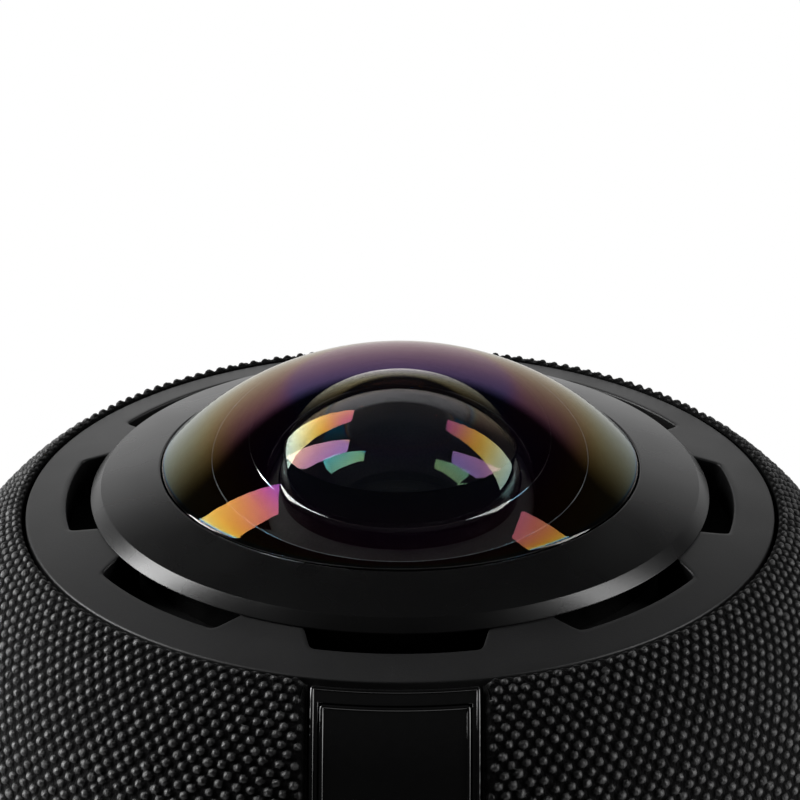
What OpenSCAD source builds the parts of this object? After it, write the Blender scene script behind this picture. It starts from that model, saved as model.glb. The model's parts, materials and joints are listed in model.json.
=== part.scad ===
// Table-top 360 degree camera: a fabric-wrapped pillar with a fisheye lens dome on top.
// Origin at the middle of the underside, +Z up, front strip facing -Y. Millimetres.

/* [Body] */
// Height from the table to the top of the dome
total_h = 230; // [224:1:260]
// Largest radius of the fabric body
body_r = 50; // [49.5:0.25:53]
// Narrowing of the fabric body down to its lower edge
body_taper = 3; // [2:0.25:3.25]
// Slope of the fabric where it meets the top ring, in degrees
shoulder_slope = 33; // [30:1:36]
// Share of the widening from the neck that the shoulder curve takes
shoulder_share = 0.5625; // [0.5:0.0125:0.6]
// Slope where the shoulder eases into the side, in degrees
ease_slope = 60; // [56:1:64]
// Height of the fabric's top edge above the ring's outer edge
fabric_lip = 0.8; // [0.4:0.1:1.2]
// Thickness of the fabric
fabric_t = 1; // [0.7:0.1:1.3]
// Wall of the grille shell under the fabric
shell_t = 2.2; // [1.8:0.1:2.6]
// Ledge and lower flange of the grille shell
ledge_t = 2; // [1.6:0.1:2.6]

/* [Grille windows] */
// Windows round the shell
window_columns = 12; // [8:2:16]
// Rows of windows
window_rows = 4; // [2:1:5]
// Width of a window
window_w = 8; // [5:0.5:10]
// Height of a window
window_h = 26; // [16:1:30]

/* [Top ring] */
// Outer radius of the ring
ring_r = 37.5; // [37:0.1:38.2]
// Slope of the ring's top face, in degrees
ring_slope = 12.5; // [8:0.5:16]
// Thickness of the ring
ring_t = 2.6; // [2:0.1:3]
// Gap between the ring and the fabric
ring_gap = 0.5; // [0.3:0.1:0.9]
// Width of the ring's skirt
ring_skirt_t = 1.1; // [0.8:0.1:1.2]
// Broken outer edge of the ring
ring_edge = 0.25; // [0.1:0.05:0.4]
// Number of sound slots
slot_count = 8; // [4:4:8]
// Outer radius of a slot
slot_r = 33.4; // [32.4:0.1:34]
// Half the angle that a slot covers at its outer edge, in degrees
slot_half_angle = 14; // [10:0.5:15]
// Lean of a slot's ends away from radial, in degrees
slot_flare = 25; // [10:1:35]
// Web between the slots and the ring's bore
slot_web = 0.8; // [0.6:0.1:1.2]

/* [Lens] */
// Radius of the dome's rim
lens_r = 23.8; // [23:0.1:24.4]
// Radius of the dome's outer curve
dome_r = 32.75; // [30:0.25:36]
// Height of the lens's straight edge
lens_edge_h = 4.5; // [4.2:0.1:4.8]
// Thickness of the glass at its middle
lens_centre_t = 1.7; // [1.5:0.1:2]
// Radius of the hollow at the back of the dome
lens_hollow_r = 15.75; // [15.5:0.05:16]
// Outer radius of the bezel
bezel_r = 31.1; // [30.6:0.1:31.6]
// Width of the bezel's chamfer
bezel_chamfer_w = 1.2; // [0.8:0.1:1.6]
// Height of the bezel's chamfer
bezel_chamfer_h = 1.35; // [0.9:0.05:1.8]
// Slope of the bezel's top face, in degrees
bezel_slope = 17.7; // [12:0.1:22]
// Width of the bezel's skirt
bezel_skirt_t = 3.2; // [2.9:0.1:3.4]
// Thickness of the lens seal
seal_t = 0.5; // [0.3:0.1:0.8]
// Outer radius of the lens barrel
barrel_r = 14; // [13.5:0.1:15]
// Length of the barrel below the seal
barrel_l = 17.6; // [17.2:0.1:20]
// Thickness of the barrel's flange
barrel_flange_t = 2; // [1.5:0.1:2.4]
// Radius of the second element
second_r = 12.4; // [12:0.1:12.8]
// Radius of the spacer between the second and third elements
spacer_r = 11.6; // [11.3:0.1:11.8]
// Radius of the third element
third_r = 7; // [6.5:0.1:7.5]
// Radius of the rear element and the infrared filter
rear_r = 5.5; // [5:0.1:6]
// Side of the image sensor
sensor_side = 9; // [7:0.5:9.5]
// Side of the sensor board
sensor_board_side = 22; // [21:0.5:26]

/* [Top deck and microphones] */
// Depth of the deck's top face below the ring's edge
deck_drop = 3.2; // [3:0.1:3.6]
// Thickness of the deck
deck_t = 3; // [2.6:0.1:3.4]
// Length of a microphone
microphone_l = 3.5; // [3:0.1:4]
// Width of a microphone
microphone_w = 2.7; // [2.2:0.1:3]
// Height of a microphone
microphone_h = 1; // [0.8:0.1:1.3]
// Height of a microphone's gasket
gasket_h = 0.9; // [0.7:0.1:1.2]
// Distance of the microphones from the axis
microphone_ring_r = 29.2; // [28.8:0.1:29.4]
// Thickness of the microphone board
microphone_board_t = 1.2; // [0.8:0.1:1.6]

/* [Front strip] */
// Width of the strip's frame
strip_w = 15.8; // [15:0.1:17]
// Border of the frame at each side of the panel
strip_border = 0.9; // [0.6:0.1:1.1]
// Depth of the strip below the fabric's face
strip_recess = 0.8; // [0.5:0.1:1]
// Thickness of the panel
panel_t = 1.2; // [1:0.1:1.3]
// Length of the strip below the ring's edge
strip_l = 103; // [100:1:110]
// Radius of a key
key_r = 4.2; // [3.6:0.1:4.6]
// Height of a key above the panel
key_proud = 0.4; // [0.2:0.1:0.8]
// Travel of a key
key_travel = 0.4; // [0.3:0.05:0.5]
// Height of the lowest key above the strip's lower end
key_end = 15; // [13:0.5:17]
// Depth of the top key below the ring's edge
key_drop = 46; // [44:0.5:47]
// Radius of the status light
light_r = 1.3; // [1:0.1:1.6]
// Depth of the key board behind the strip
key_board_depth = 6.8; // [6.4:0.1:8]

/* [Speaker] */
// Width of the speaker's flange
speaker_rim_w = 7.3; // [7:0.1:7.6]
// Width of the surround between the speaker's mouth and its cone
surround_w = 4.2; // [3.9:0.1:5]
// Depth of the basket behind its flange
basket_depth = 22; // [21:0.5:25]
// Radius of the voice coil, inside
coil_r = 7.5; // [7:0.1:8]
// Wall of the voice coil
coil_t = 0.7; // [0.5:0.1:0.9]
// Travel of the cone each way
cone_travel = 2; // [1:0.25:2.5]
// Step from the cone's edge in to the magnet's
magnet_step = 3.5; // [3:0.25:5]
// Thickness of the magnet
magnet_t = 9; // [8:0.5:12]
// Share of the height between the baffle and the lens that the chamber tub takes
tub_share = 0.45; // [0.42:0.01:0.48]
// Wall of the chamber tub
tub_t = 2; // [1.6:0.1:2.2]
// Thickness of the baffle
baffle_t = 3; // [2.6:0.1:3.4]
// Gap between the sound diffuser and the posts round it
diffuser_gap = 8.3; // [7.5:0.1:12]
// Height of the sound diffuser
diffuser_h = 15; // [10:0.5:16]

/* [Electronics] */
// Width of the main board
main_board_w = 64; // [60:1:66]
// Gap between the main board and the sensor board above it
board_top_gap = 11.5; // [10:0.5:14]
// Thickness of the rigid boards
board_t = 1.6; // [1.2:0.1:2]
// Distance of the main board's front face behind the axis
main_board_y = 9.2; // [8:0.2:10]
// Side of the heat sink
heat_sink_side = 36; // [28:1:38]
// Height of the heat sink's fins
fin_h = 10; // [6:0.5:12]
// Number of fins
fin_count = 7; // [5:1:9]
// Thickness of the ribbons
ribbon_t = 0.3; // [0.2:0.05:0.4]
// Radius of a speaker wire
wire_r = 0.7; // [0.5:0.1:0.9]

/* [Base] */
// Height of the base housing
base_h = 20; // [19:0.5:24]
// Wall of the base housing
base_wall = 2.5; // [2:0.1:2.8]
// Gap that the fabric stands out beyond the base
base_step = 1; // [0.6:0.1:1.4]
// Thickness of the base plate
base_plate_t = 3; // [2.6:0.1:4]
// Height that the foot ring lifts the base off the table
foot_lift = 2; // [1:0.1:3]
// Width of the foot ring
foot_w = 6; // [4:0.5:6.5]
// Distance of the foot ring from the edge of the base plate
foot_edge = 2.3; // [2:0.1:4]
// Radius of the tripod thread, 1/4 inch
tripod_r = 3.175; // [3.175, 4.7625]
// Depth of the tripod thread
tripod_depth = 8.5; // [7:0.5:10]
// Travel of the power button
power_travel = 0.6; // [0.4:0.1:0.8]
// Radius of the power button
power_r = 4; // [3:0.1:4.4]

/* [Screws] */
// Radius of a case screw
case_screw_r = 1.25; // [1:0.05:1.3]
// Length of a case screw
case_screw_l = 8; // [7.6:0.1:8.4]
// Radius of a board screw
board_screw_r = 1; // [0.8:0.05:1.05]
// Length of a board screw
board_screw_l = 4.5; // [4:0.1:4.8]

/* [Clearances] */
// Gap round a fixed piece that drops into its seat
fit = 0.2; // [0.1:0.05:0.3]
// Gap round a piece that slides
slide_gap = 0.25; // [0.15:0.05:0.35]
// Gap between a screw and its hole in the lower piece
thread_gap = 0.05; // [0.03:0.01:0.1]
// Gap between the fabric and the shell
fabric_gap = 0.1; // [0.05:0.05:0.2]

/* [Hidden] */
$fn = 96;
lap = 0.4;        // overlap of shapes that join into one piece
beyond = 20;      // length that a cut runs past what it cuts

// Heights of the top assembly
dome_h = dome_r - sqrt(pow(dome_r, 2) - pow(lens_r, 2));
bezel_top_r = bezel_r - bezel_chamfer_w;
land_rise = (ring_r - bezel_r) * tan(ring_slope);
rim_rise = land_rise + bezel_chamfer_h + (bezel_top_r - lens_r) * tan(bezel_slope);
rim_z = total_h - dome_h;
ring_z = rim_z - rim_rise;
land_z = ring_z + land_rise;
lens_back_z = rim_z - lens_edge_h;
flange_top_z = lens_back_z - seal_t;
flange_low_z = flange_top_z - barrel_flange_t;
barrel_low_z = flange_top_z - barrel_l;
deck_top_z = ring_z - deck_drop;
deck_low_z = deck_top_z - deck_t;
ledge_low_z = deck_low_z - ledge_t;

// Radii of the top assembly
bezel_bore = lens_r + fit;
bezel_skirt_r = bezel_bore + bezel_skirt_t;
ring_bore = bezel_skirt_r + fit;
slot_in_r = ring_bore + slot_web;
lens_seat_w = 1;                  // edge of the lens that stands out past its flange
flange_r = lens_r - lens_seat_w;
deck_r = ring_r - fit;
deck_collar_w = 5;                // collar of the deck under the barrel's flange
neck_r = ring_r + ring_gap;

// Screws: case screws clamp the casing, board screws clamp the boards
case_head = [2.2, 1.5];           // radius and height of a head
board_head = [1.8, 1.2];
head_sink = 0.1;                  // depth of a sunk head below its face
case_hole_r = case_screw_r + thread_gap;
board_hole_r = board_screw_r + thread_gap;
blind = 0.6;                      // depth of a blind hole past the screw's end
boss_wall = 1.2;                  // wall of a boss round its hole
board_edge = 2.5;                 // distance of a board's edge from its screws
case_boss_r = case_hole_r + boss_wall;
board_boss_r = board_hole_r + boss_wall;
deck_screw_r = ring_r - ring_skirt_t - fit - case_head[0] - fit;
bezel_screw_r = bezel_bore + bezel_skirt_t / 2;
ledge_bore = deck_screw_r - case_boss_r;
quarter = [0, 90, 180, 270];
corners = [45, 135, 225, 315];
between_slots = [22.5, 112.5, 202.5, 292.5];

// Microphone stack under the deck
gasket_low_z = deck_low_z - gasket_h;
microphone_low_z = gasket_low_z - microphone_h;
microphone_board_low_z = microphone_low_z - microphone_board_t;
microphone_board_r = ledge_bore - fit;
microphone_board_bore = barrel_r + 1;
microphone_screw_r = 19.5;
gasket_r = 1.6;
sound_bore = 0.7;

// Outline of the fabric: shoulder curve, easing curve and a slow taper to the base
base_low_z = foot_lift;
base_top_z = base_low_z + base_h;
body_foot_r = body_r - body_taper;
shoulder_r = shoulder_share * (body_r - neck_r) / (sin(ease_slope) - sin(shoulder_slope));
shoulder_c = [neck_r - shoulder_r * sin(shoulder_slope),
              ring_z + fabric_lip - shoulder_r * cos(shoulder_slope)];
ease_start_r = shoulder_c[0] + shoulder_r * sin(ease_slope);
ease_r = (body_r - ease_start_r) / (1 - sin(ease_slope));
ease_c = shoulder_c + (shoulder_r - ease_r) * [sin(ease_slope), cos(ease_slope)];
side_l = ease_c[1] - base_top_z;
side_r = (pow(side_l, 2) + pow(body_taper, 2)) / (2 * body_taper);
side_c = [body_r - side_r, ease_c[1]];

joint_turn = 3;                   // slope left out just before two curves meet, in degrees

function reversed(p) = [for (i = [len(p) - 1 : -1 : 0]) p[i]];

// Points on an arc; the angle is the slope of the surface there
function arc(c, r, a0, a1, n) =
    [for (i = [0 : n]) let (a = a0 + (a1 - a0) * i / n) c + r * [sin(a), cos(a)]];

// The outline moved inwards by an offset, from a start radius down to the base
function outline(off, start_r) = concat(
    arc(shoulder_c, shoulder_r - off,
        asin((start_r - shoulder_c[0]) / (shoulder_r - off)), ease_slope - joint_turn, 7),
    arc(ease_c, ease_r - off, ease_slope, 90 - joint_turn, 6),
    arc(side_c, side_r - off, 90, 90 + asin(side_l / (side_r - off)), 8));

// Radius of the offset outline at a height
function skin_r(off, z) =
    z > shoulder_c[1] + (shoulder_r - off) * cos(ease_slope)
        ? shoulder_c[0] + sqrt(pow(shoulder_r - off, 2) - pow(z - shoulder_c[1], 2))
    : z > ease_c[1] ? ease_c[0] + sqrt(pow(ease_r - off, 2) - pow(z - ease_c[1], 2))
    : side_c[0] + sqrt(pow(side_r - off, 2) - pow(z - side_c[1], 2));

module wall(off_out, off_in, start_r = neck_r)
    rotate_extrude() polygon(concat(outline(off_out, start_r), reversed(outline(off_in, start_r))));

shell_out = fabric_t + fabric_gap;
shell_in = shell_out + shell_t;

// Front strip
strip_out = strip_recess;
strip_in = shell_in;
panel_sink = 0.1;                 // depth of the panel below the frame
panel_out = strip_out + panel_sink;
panel_in = panel_out + panel_t;
panel_w = strip_w - 2 * strip_border;
strip_top_gap = 0.3;              // gap between the fabric's neck and the strip
panel_top_border = 1.3;           // border of the frame above the panel
strip_start_r = neck_r + strip_top_gap;
panel_start_r = strip_start_r + panel_top_border;
strip_low_z = ring_z - strip_l;
key_pitch = (strip_l - key_drop - key_end) / 3;
key_z = [for (i = [0 : 3]) ring_z - key_drop - i * key_pitch];
light_gap = 12;                   // distance of the status light above the top key
light_z = key_z[0] + light_gap;
key_screw_gap = 8.5;              // distance of the key board's screws from the lowest key
light_screw_gap = 6.5;            // and from the light
key_screw_z = [key_z[3] - key_screw_gap, light_z + light_screw_gap];
key_board_z = key_screw_z + board_edge * [-1, 1];
strip_back_y = -skin_r(strip_in, key_z[1]);
key_board_y = strip_back_y + key_board_depth;
switch_size = [5, 3, 5];
switch_front_y = key_board_y - switch_size[1];
key_stem_r = 2;
key_collar_r = 2.8;
key_cap_t = 1.1;
key_collar_t = 0.9;
key_stop_gap = 0.3;               // gap left between a pressed key and its switch
led_h = 1.2;
led_half = 1;

// Base housing and what stands on it
base_r = body_foot_r - base_step;
base_in_r = base_r - base_wall;
base_deck_t = 2.5;
base_chamfer = 1.5;
base_deck_low_z = base_top_z - base_deck_t;
plate_top_z = base_low_z + base_plate_t;
plate_r = base_in_r - fit;
foot_out_r = plate_r - foot_edge;
foot_in_r = foot_out_r - foot_w;
base_screw_gap = 7;               // distance of the base screws from the foot ring
base_screw_r = foot_in_r - base_screw_gap;
shell_screw_r = base_in_r - case_head[0] - 2 * fit;
shell_screw_angles = [0, 180, 240, 300];   // clear of the ports at the back
base_screw_angles = [25, 155, 215, 325];   // clear of the ports and of the bay at the front
shell_boss_h = 6.4;
foot_sink = 0.8;

// Speaker, facing down over the diffuser
post_r = 2.6;
chamber_flange_r = body_foot_r - shell_in;
post_ring_r = chamber_flange_r - post_r - fit;
tub_r = min(post_ring_r - post_r - lap, -key_board_y - board_t - board_head[1] - 2 * fit);
diffuser_r = post_ring_r - post_r - diffuser_gap;
post_h = 22;
baffle_low_z = base_top_z + post_h;
baffle_top_z = baffle_low_z + baffle_t;
tub_flange_t = 2.5;
sensor_board_low_z = barrel_low_z - board_t;
tub_top_z = baffle_top_z + tub_share * (sensor_board_low_z - baffle_top_z);
tub_in_r = tub_r - tub_t;
speaker_flange_r = tub_in_r - 2 * fit;
speaker_mouth_r = speaker_flange_r - speaker_rim_w;
cone_r = speaker_mouth_r - surround_w;
magnet_r = cone_r - magnet_step;
speaker_flange_t = 2;
speaker_low_z = baffle_low_z - speaker_flange_t;
rim_wall = 1;
basket_r = speaker_mouth_r + rim_wall;
baffle_bore = basket_r + fit;
speaker_screw_r = baffle_bore + case_boss_r;
speaker_boss_h = 3.6;
seat_z = baffle_low_z + 2;        // face of the basket that the surround is glued to
seat_t = 1;
seat_w = 1.3;
surround_t = 0.5;
roll_r = (speaker_mouth_r - seat_w + 0.3 - cone_r) / 2;
roll_c = cone_r + roll_r;
basket_top_z = baffle_low_z + basket_depth;
basket_back_t = 2;
magnet_low_z = basket_top_z + basket_back_t;
pole_gap = 0.5;
coil_out_r = coil_r + coil_t;
coil_low_z = seat_z + 10.5;
neck_bore = coil_out_r + 0.1;
plate_t = 3;                      // iron plates of the magnet
coil_spare = 1;                   // coil left in the gap when the cone is at its lowest
coil_top_z = magnet_low_z + plate_t + cone_travel + coil_spare;
spider_z = basket_top_z - 4;
spider_seat_w = 2;
spider_seat_t = 1;
lug_half = 4;                     // terminal lug at the side of the basket
lug_t = 1.5;
lug_edge = 2;
basket_window_w = 12;

// Main board, ribbons and leads
board_back_y = main_board_y + board_t;
board_top_z = sensor_board_low_z - board_top_gap;
pad_size = [6, 5, 36];
pad_gap = 3;                      // gap between a pad and the heat sink
pad_x = heat_sink_side / 2 + pad_gap + pad_size[0] / 2;
pad_screw_z = [tub_top_z + pad_size[0], tub_top_z + pad_size[2] - pad_size[0]];
processor_size = [20, 1.6, 20];
processor_z = tub_top_z + 0.6 * (board_top_z - tub_top_z);
sensor_screw_x = 8.2;
lead_turn = 125;                  // place of the speaker lead round the magnet
lead_clear = 5.2;                 // gap between the lead's middle and the magnet
lead_ring_r = magnet_r + lead_clear;
lead_x = lead_ring_r * cos(lead_turn);
lead_y = lead_ring_r * sin(lead_turn);
lead_gap = 3;
terminal_half = 3.2;              // half width of the lead's terminal on the main board
terminal_z = [tub_top_z + 6, tub_top_z + 12];

// Ports at the back
port_depth = 4.5;                 // depth of the pocket of the ports
port_face_y = base_r - port_depth;
port_pad_t = 2.5;
port_pad_in_y = port_face_y - port_pad_t;
port_pad_half = 20;
pocket_edge = 1;                  // wall left round the pocket of the ports
port_board_z = plate_top_z + 1.5;
port_board_top_z = port_board_z + board_t;
port_board_l = 15;
port_board_y = [port_pad_in_y - 0.5 - port_board_l, port_pad_in_y - 0.5];
port_screw_y = port_board_y[0] + 3;
usb_size = [8.94, 3.16];
usb_wall = 0.3;
usb_l = 7.5;
usb_back_t = 1;
usb_sink = 0.5;                   // depth of the mouth in the pocket's face
usb_tongue = [6.6, 0.7];
usb_tongue_sink = 0.6;
usb_z = port_board_top_z + usb_size[1] / 2;
jack_x = -13;
jack_size = [9, 12, 8.5];
port_screw_x = jack_size[0] / 2 - jack_x + board_head[0] + 2 * fit;
jack_z = port_board_top_z + jack_size[2] / 2;
jack_nose_r = 3.9;
jack_bore_r = 3.15;
jack_pin_r = 1;
jack_bore_l = 9.5;
jack_sink = 0.2;
jack_pin_sink = 1;
button_x = 13;
power_proud = 0.8;                // height of the power button above the pocket's face
power_collar_t = 1.2;
power_collar_w = 0.8;
power_stem_r = 1.5;
button_z = port_board_top_z + power_r + power_collar_w + 2 * fit;
power_switch_size = [6, 3.5, 7];
power_switch_gap = 5.1;           // distance of the power switch behind the pocket's wall
power_switch_y = [port_pad_in_y - power_switch_gap - power_switch_size[1],
                  port_pad_in_y - power_switch_gap];

// Shared shapes

// A tube standing on z0
module tube(r_out, r_in, z0, z1) translate([0, 0, z0]) difference() {
    cylinder(h = z1 - z0, r = r_out);
    translate([0, 0, -beyond]) cylinder(h = z1 - z0 + 2 * beyond, r = r_in);
}

// A disc or rod standing on z0
module rod(r, z0, z1) translate([0, 0, z0]) cylinder(h = z1 - z0, r = r);

// A box between two corners
module box(a, b) translate(a) cube(b - a);

// A copy at each angle, moved out along X
module around(angles, r = 0) for (a = angles) rotate(a) translate([r, 0, 0]) children();

// A rod along +Y from y0 to y1
module rod_y(r, x, z, y0, y1)
    translate([x, y0, z]) rotate([-90, 0, 0]) cylinder(h = y1 - y0, r = r);

// A screw with its head's underside at z = 0 and its shank pointing down
module screw(r, l, head) {
    cylinder(h = head[1], r = head[0]);
    translate([0, 0, -l]) cylinder(h = l + lap, r = r);
}
module case_screw() screw(case_screw_r, case_screw_l, case_head);
module board_screw() screw(board_screw_r, board_screw_l, board_head);

// The cut for a case screw: a hole with a wider seat above it for the head
module case_hole(depth) translate([0, 0, -depth]) cylinder(h = depth + lap, r = case_hole_r);
module case_seat(depth) cylinder(h = depth, r = case_head[0] + fit);

// The part of a wall that lies in the front strip
module strip_band(off_out, off_in, w, start_r, low_z) intersection() {
    wall(off_out, off_in, start_r);
    box([-w / 2, -body_r - 1, low_z], [w / 2, -shoulder_c[0], total_h]);
}

// A flat ribbon that follows a path of [y, z] points
function unit(v) = v / norm(v);
function path_normal(p, i) = let (
    a = unit(p[min(i + 1, len(p) - 1)] - p[min(i, len(p) - 2)]),
    b = unit(p[max(i, 1)] - p[max(i - 1, 0)]),
    n = unit([-a[1] - b[1], a[0] + b[0]])) n / (n * [-a[1], a[0]]);
function beside(p, d) = [for (i = [0 : len(p) - 1]) p[i] + d * path_normal(p, i)];
module ribbon(path, x, w) translate([x - w / 2, 0, 0]) rotate([90, 0, 90]) linear_extrude(w)
    polygon(concat(beside(path, ribbon_t / 2), reversed(beside(path, -ribbon_t / 2))));

// Lens

// The part of a ball above a height, cut to a radius
module cap(ball_r, ball_z, r, low_z) intersection() {
    translate([0, 0, ball_z]) sphere(r = ball_r);
    rod(r, low_z, ball_z + ball_r + 1);
}

hollow_z = total_h - lens_centre_t - lens_hollow_r;
seal_margin = 3;                  // glass left bare between the hollow and the seal

module lens_front_element() color([0.25, 0.2, 0.3, 0.6]) difference() {
    union() {
        cap(dome_r, total_h - dome_r, lens_r, rim_z - lap);
        rod(lens_r, lens_back_z, rim_z);
    }
    translate([0, 0, hollow_z]) sphere(r = lens_hollow_r);
    rod(lens_hollow_r, min(hollow_z, lens_back_z) - lap, hollow_z);
}

module lens_seal() color([0.06, 0.06, 0.06])
    tube(flange_r, lens_hollow_r + seal_margin, flange_top_z, lens_back_z);

module lens_bezel() color([0.09, 0.09, 0.09]) difference() {
    rotate_extrude() polygon([
        [bezel_bore, rim_z], [bezel_top_r, land_z + bezel_chamfer_h], [bezel_r, land_z],
        [bezel_skirt_r, land_z], [bezel_skirt_r, deck_top_z], [bezel_bore, deck_top_z]]);
    around(between_slots, bezel_screw_r)
        rod(case_hole_r, deck_top_z - lap, deck_low_z + case_screw_l + blind);
}

// Seats of the elements inside the barrel, from the top
second_depth = 0.6;
second_h = 6.5;
second_front_r = 20;
second_back_r = 13;
second_hollow_h = 5.8;
spacer_h = 8;
spacer_land = 1;                  // flat of the spacer under the second element
third_depth = 11.4;
third_front_r = 18;
third_back_r = 36;
third_sag = 0.35;
rear_depth = 3;
rear_front_r = 14;
element_lip = 1;                  // lip that an element rests on
second_seat_z = flange_top_z - second_depth;
third_seat_z = second_seat_z - third_depth;
rear_seat_z = third_seat_z - rear_depth;
filter_t = 0.7;
sensor_t = 0.8;
sensor_bay_r = sensor_side * sqrt(0.5) + fit;

module lens_barrel() color([0.05, 0.05, 0.05]) difference() {
    union() {
        rod(barrel_r, barrel_low_z, flange_top_z);
        rod(flange_r, flange_low_z, flange_top_z);
    }
    rod(second_r + fit, second_seat_z, flange_top_z + lap);
    rod(spacer_r + fit, second_seat_z - spacer_h, flange_top_z);
    rod(third_r + fit, third_seat_z, flange_top_z);
    rod(third_r - element_lip, rear_seat_z, third_seat_z + lap);
    rod(rear_r - element_lip, barrel_low_z - lap, third_seat_z);
    rod(max(sensor_bay_r, rear_r + fit), barrel_low_z - lap, barrel_low_z + sensor_t + filter_t + fit);
    for (x = [-1, 1], y = [-1, 1]) translate([x * sensor_screw_x, y * sensor_screw_x, 0])
        rod(board_hole_r, barrel_low_z - lap, sensor_board_low_z + board_screw_l + blind);
}

module lens_second_element() color([0.3, 0.35, 0.4, 0.6]) difference() {
    union() {
        rod(second_r, second_seat_z, second_seat_z + second_h);
        cap(second_front_r, second_seat_z + second_h - sqrt(pow(second_front_r, 2) - pow(second_r, 2)),
            second_r, second_seat_z + second_h / 2);
    }
    translate([0, 0, second_seat_z + second_hollow_h - second_back_r]) sphere(r = second_back_r);
}

module lens_spacer() color([0.04, 0.04, 0.04]) rotate_extrude() polygon([
    [third_r - element_lip / 2, second_seat_z - spacer_h], [spacer_r, second_seat_z - spacer_h],
    [spacer_r, second_seat_z], [spacer_r - spacer_land, second_seat_z]]);

module lens_third_element() color([0.3, 0.35, 0.4, 0.6]) intersection() {
    rod(third_r, third_seat_z, second_seat_z - spacer_h);
    translate([0, 0, second_seat_z - spacer_h - third_front_r]) sphere(r = third_front_r);
    translate([0, 0, third_seat_z - third_sag + third_back_r]) sphere(r = third_back_r);
}

module lens_rear_element() color([0.3, 0.35, 0.4, 0.6]) intersection() {
    rod(third_r - element_lip - fit, rear_seat_z, third_seat_z);
    translate([0, 0, third_seat_z - rear_front_r]) sphere(r = rear_front_r);
}

filter_low_z = barrel_low_z + sensor_t + fit;

module infrared_filter() color([0.35, 0.55, 0.6, 0.7]) rod(rear_r, filter_low_z, filter_low_z + filter_t);

module image_sensor() color([0.12, 0.14, 0.2])
    box([-sensor_side / 2, -sensor_side / 2, barrel_low_z],
        [sensor_side / 2, sensor_side / 2, barrel_low_z + sensor_t]);

module sensor_board() color([0.08, 0.2, 0.12]) difference() {
    box([-sensor_board_side / 2, -sensor_board_side / 2, sensor_board_low_z],
        [sensor_board_side / 2, sensor_board_side / 2, barrel_low_z]);
    for (x = [-1, 1], y = [-1, 1]) translate([x * sensor_screw_x, y * sensor_screw_x, 0])
        rod(board_hole_r, sensor_board_low_z - lap, barrel_low_z + lap);
}

// Top ring, deck and microphones

slot_angles = [for (i = [0 : slot_count - 1]) i * 360 / slot_count - 90];

// Plan of one slot, pointing along +X, wider at its inner end
module slot_plan() intersection() {
    difference() {
        circle(r = slot_r);
        circle(r = slot_in_r);
    }
    polygon([
        for (side = [-1, 1]) let (
            tip = slot_r * [cos(slot_half_angle), side * sin(slot_half_angle)],
            along = [cos(slot_half_angle - slot_flare), side * sin(slot_half_angle - slot_flare)])
            each (side < 0 ? [tip - beyond * along, tip + lap * beyond * along]
                           : [tip + lap * beyond * along, tip - beyond * along])]);
}

module top_ring() color([0.12, 0.12, 0.12]) difference() {
    rotate_extrude() polygon([
        [ring_r - ring_edge, ring_z + ring_edge * tan(ring_slope)], [bezel_r, land_z], [ring_bore, land_z],
        [ring_bore, land_z - ring_t], [ring_r - ring_skirt_t, land_z - ring_t],
        [ring_r - ring_skirt_t, deck_top_z], [ring_r, deck_top_z], [ring_r, ring_z - ring_edge]]);
    around(slot_angles) translate([0, 0, deck_top_z]) linear_extrude(beyond) slot_plan();
}

module top_deck() color([0.07, 0.07, 0.07]) difference() {
    union() {
        rod(deck_r, deck_low_z, deck_top_z);
        rod(barrel_r + deck_collar_w, deck_low_z, flange_low_z);
        around(corners, microphone_screw_r)
            rod(board_boss_r, microphone_low_z, deck_top_z);
    }
    rod(barrel_r + fit, deck_low_z - beyond, total_h);
    around(slot_angles, microphone_ring_r) rod(sound_bore, deck_low_z - lap, deck_top_z + lap);
    around(between_slots, deck_screw_r)
        translate([0, 0, deck_top_z - case_head[1] - head_sink]) {
            case_hole(deck_t);
            case_seat(deck_t);
        }
    around(between_slots, bezel_screw_r) rod(case_hole_r, deck_low_z - lap, deck_top_z + lap);
    around(corners, microphone_screw_r)
        rod(board_hole_r, microphone_low_z - lap, microphone_board_low_z + board_screw_l + blind);
}

module microphone_gaskets() color([0.15, 0.15, 0.16])
    around(slot_angles, microphone_ring_r) tube(gasket_r, sound_bore, gasket_low_z, deck_low_z);

module microphones() color([0.75, 0.7, 0.5]) around(slot_angles, microphone_ring_r) difference() {
    translate([-microphone_w / 2, -microphone_l / 2, microphone_low_z])
        cube([microphone_w, microphone_l, microphone_h]);
    rod(sound_bore / 2, gasket_low_z - microphone_h / 2, gasket_low_z + lap);
}

module microphone_board() color([0.08, 0.2, 0.12]) difference() {
    tube(microphone_board_r, microphone_board_bore, microphone_board_low_z, microphone_low_z);
    around(corners, microphone_screw_r)
        rod(board_hole_r, microphone_board_low_z - lap, microphone_low_z + lap);
}

// Body

// The gap that the strip drops into
module strip_cut(gap, low_gap) box([-strip_w / 2 - gap, -body_r - 1, strip_low_z - low_gap],
    [strip_w / 2 + gap, -neck_r + 4, total_h]);

window_z = [base_top_z + 8, ring_z - 36];
window_pitch = (window_z[1] - window_z[0] - window_h) / max(window_rows - 1, 1);

module grille_windows() for (i = [0 : window_columns - 1], j = [0 : window_rows - 1])
    rotate((i + 0.5) * 360 / window_columns)
        translate([base_r - beyond / 2, -window_w / 2, window_z[0] + j * window_pitch])
            cube([beyond, window_w, window_h]);

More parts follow.
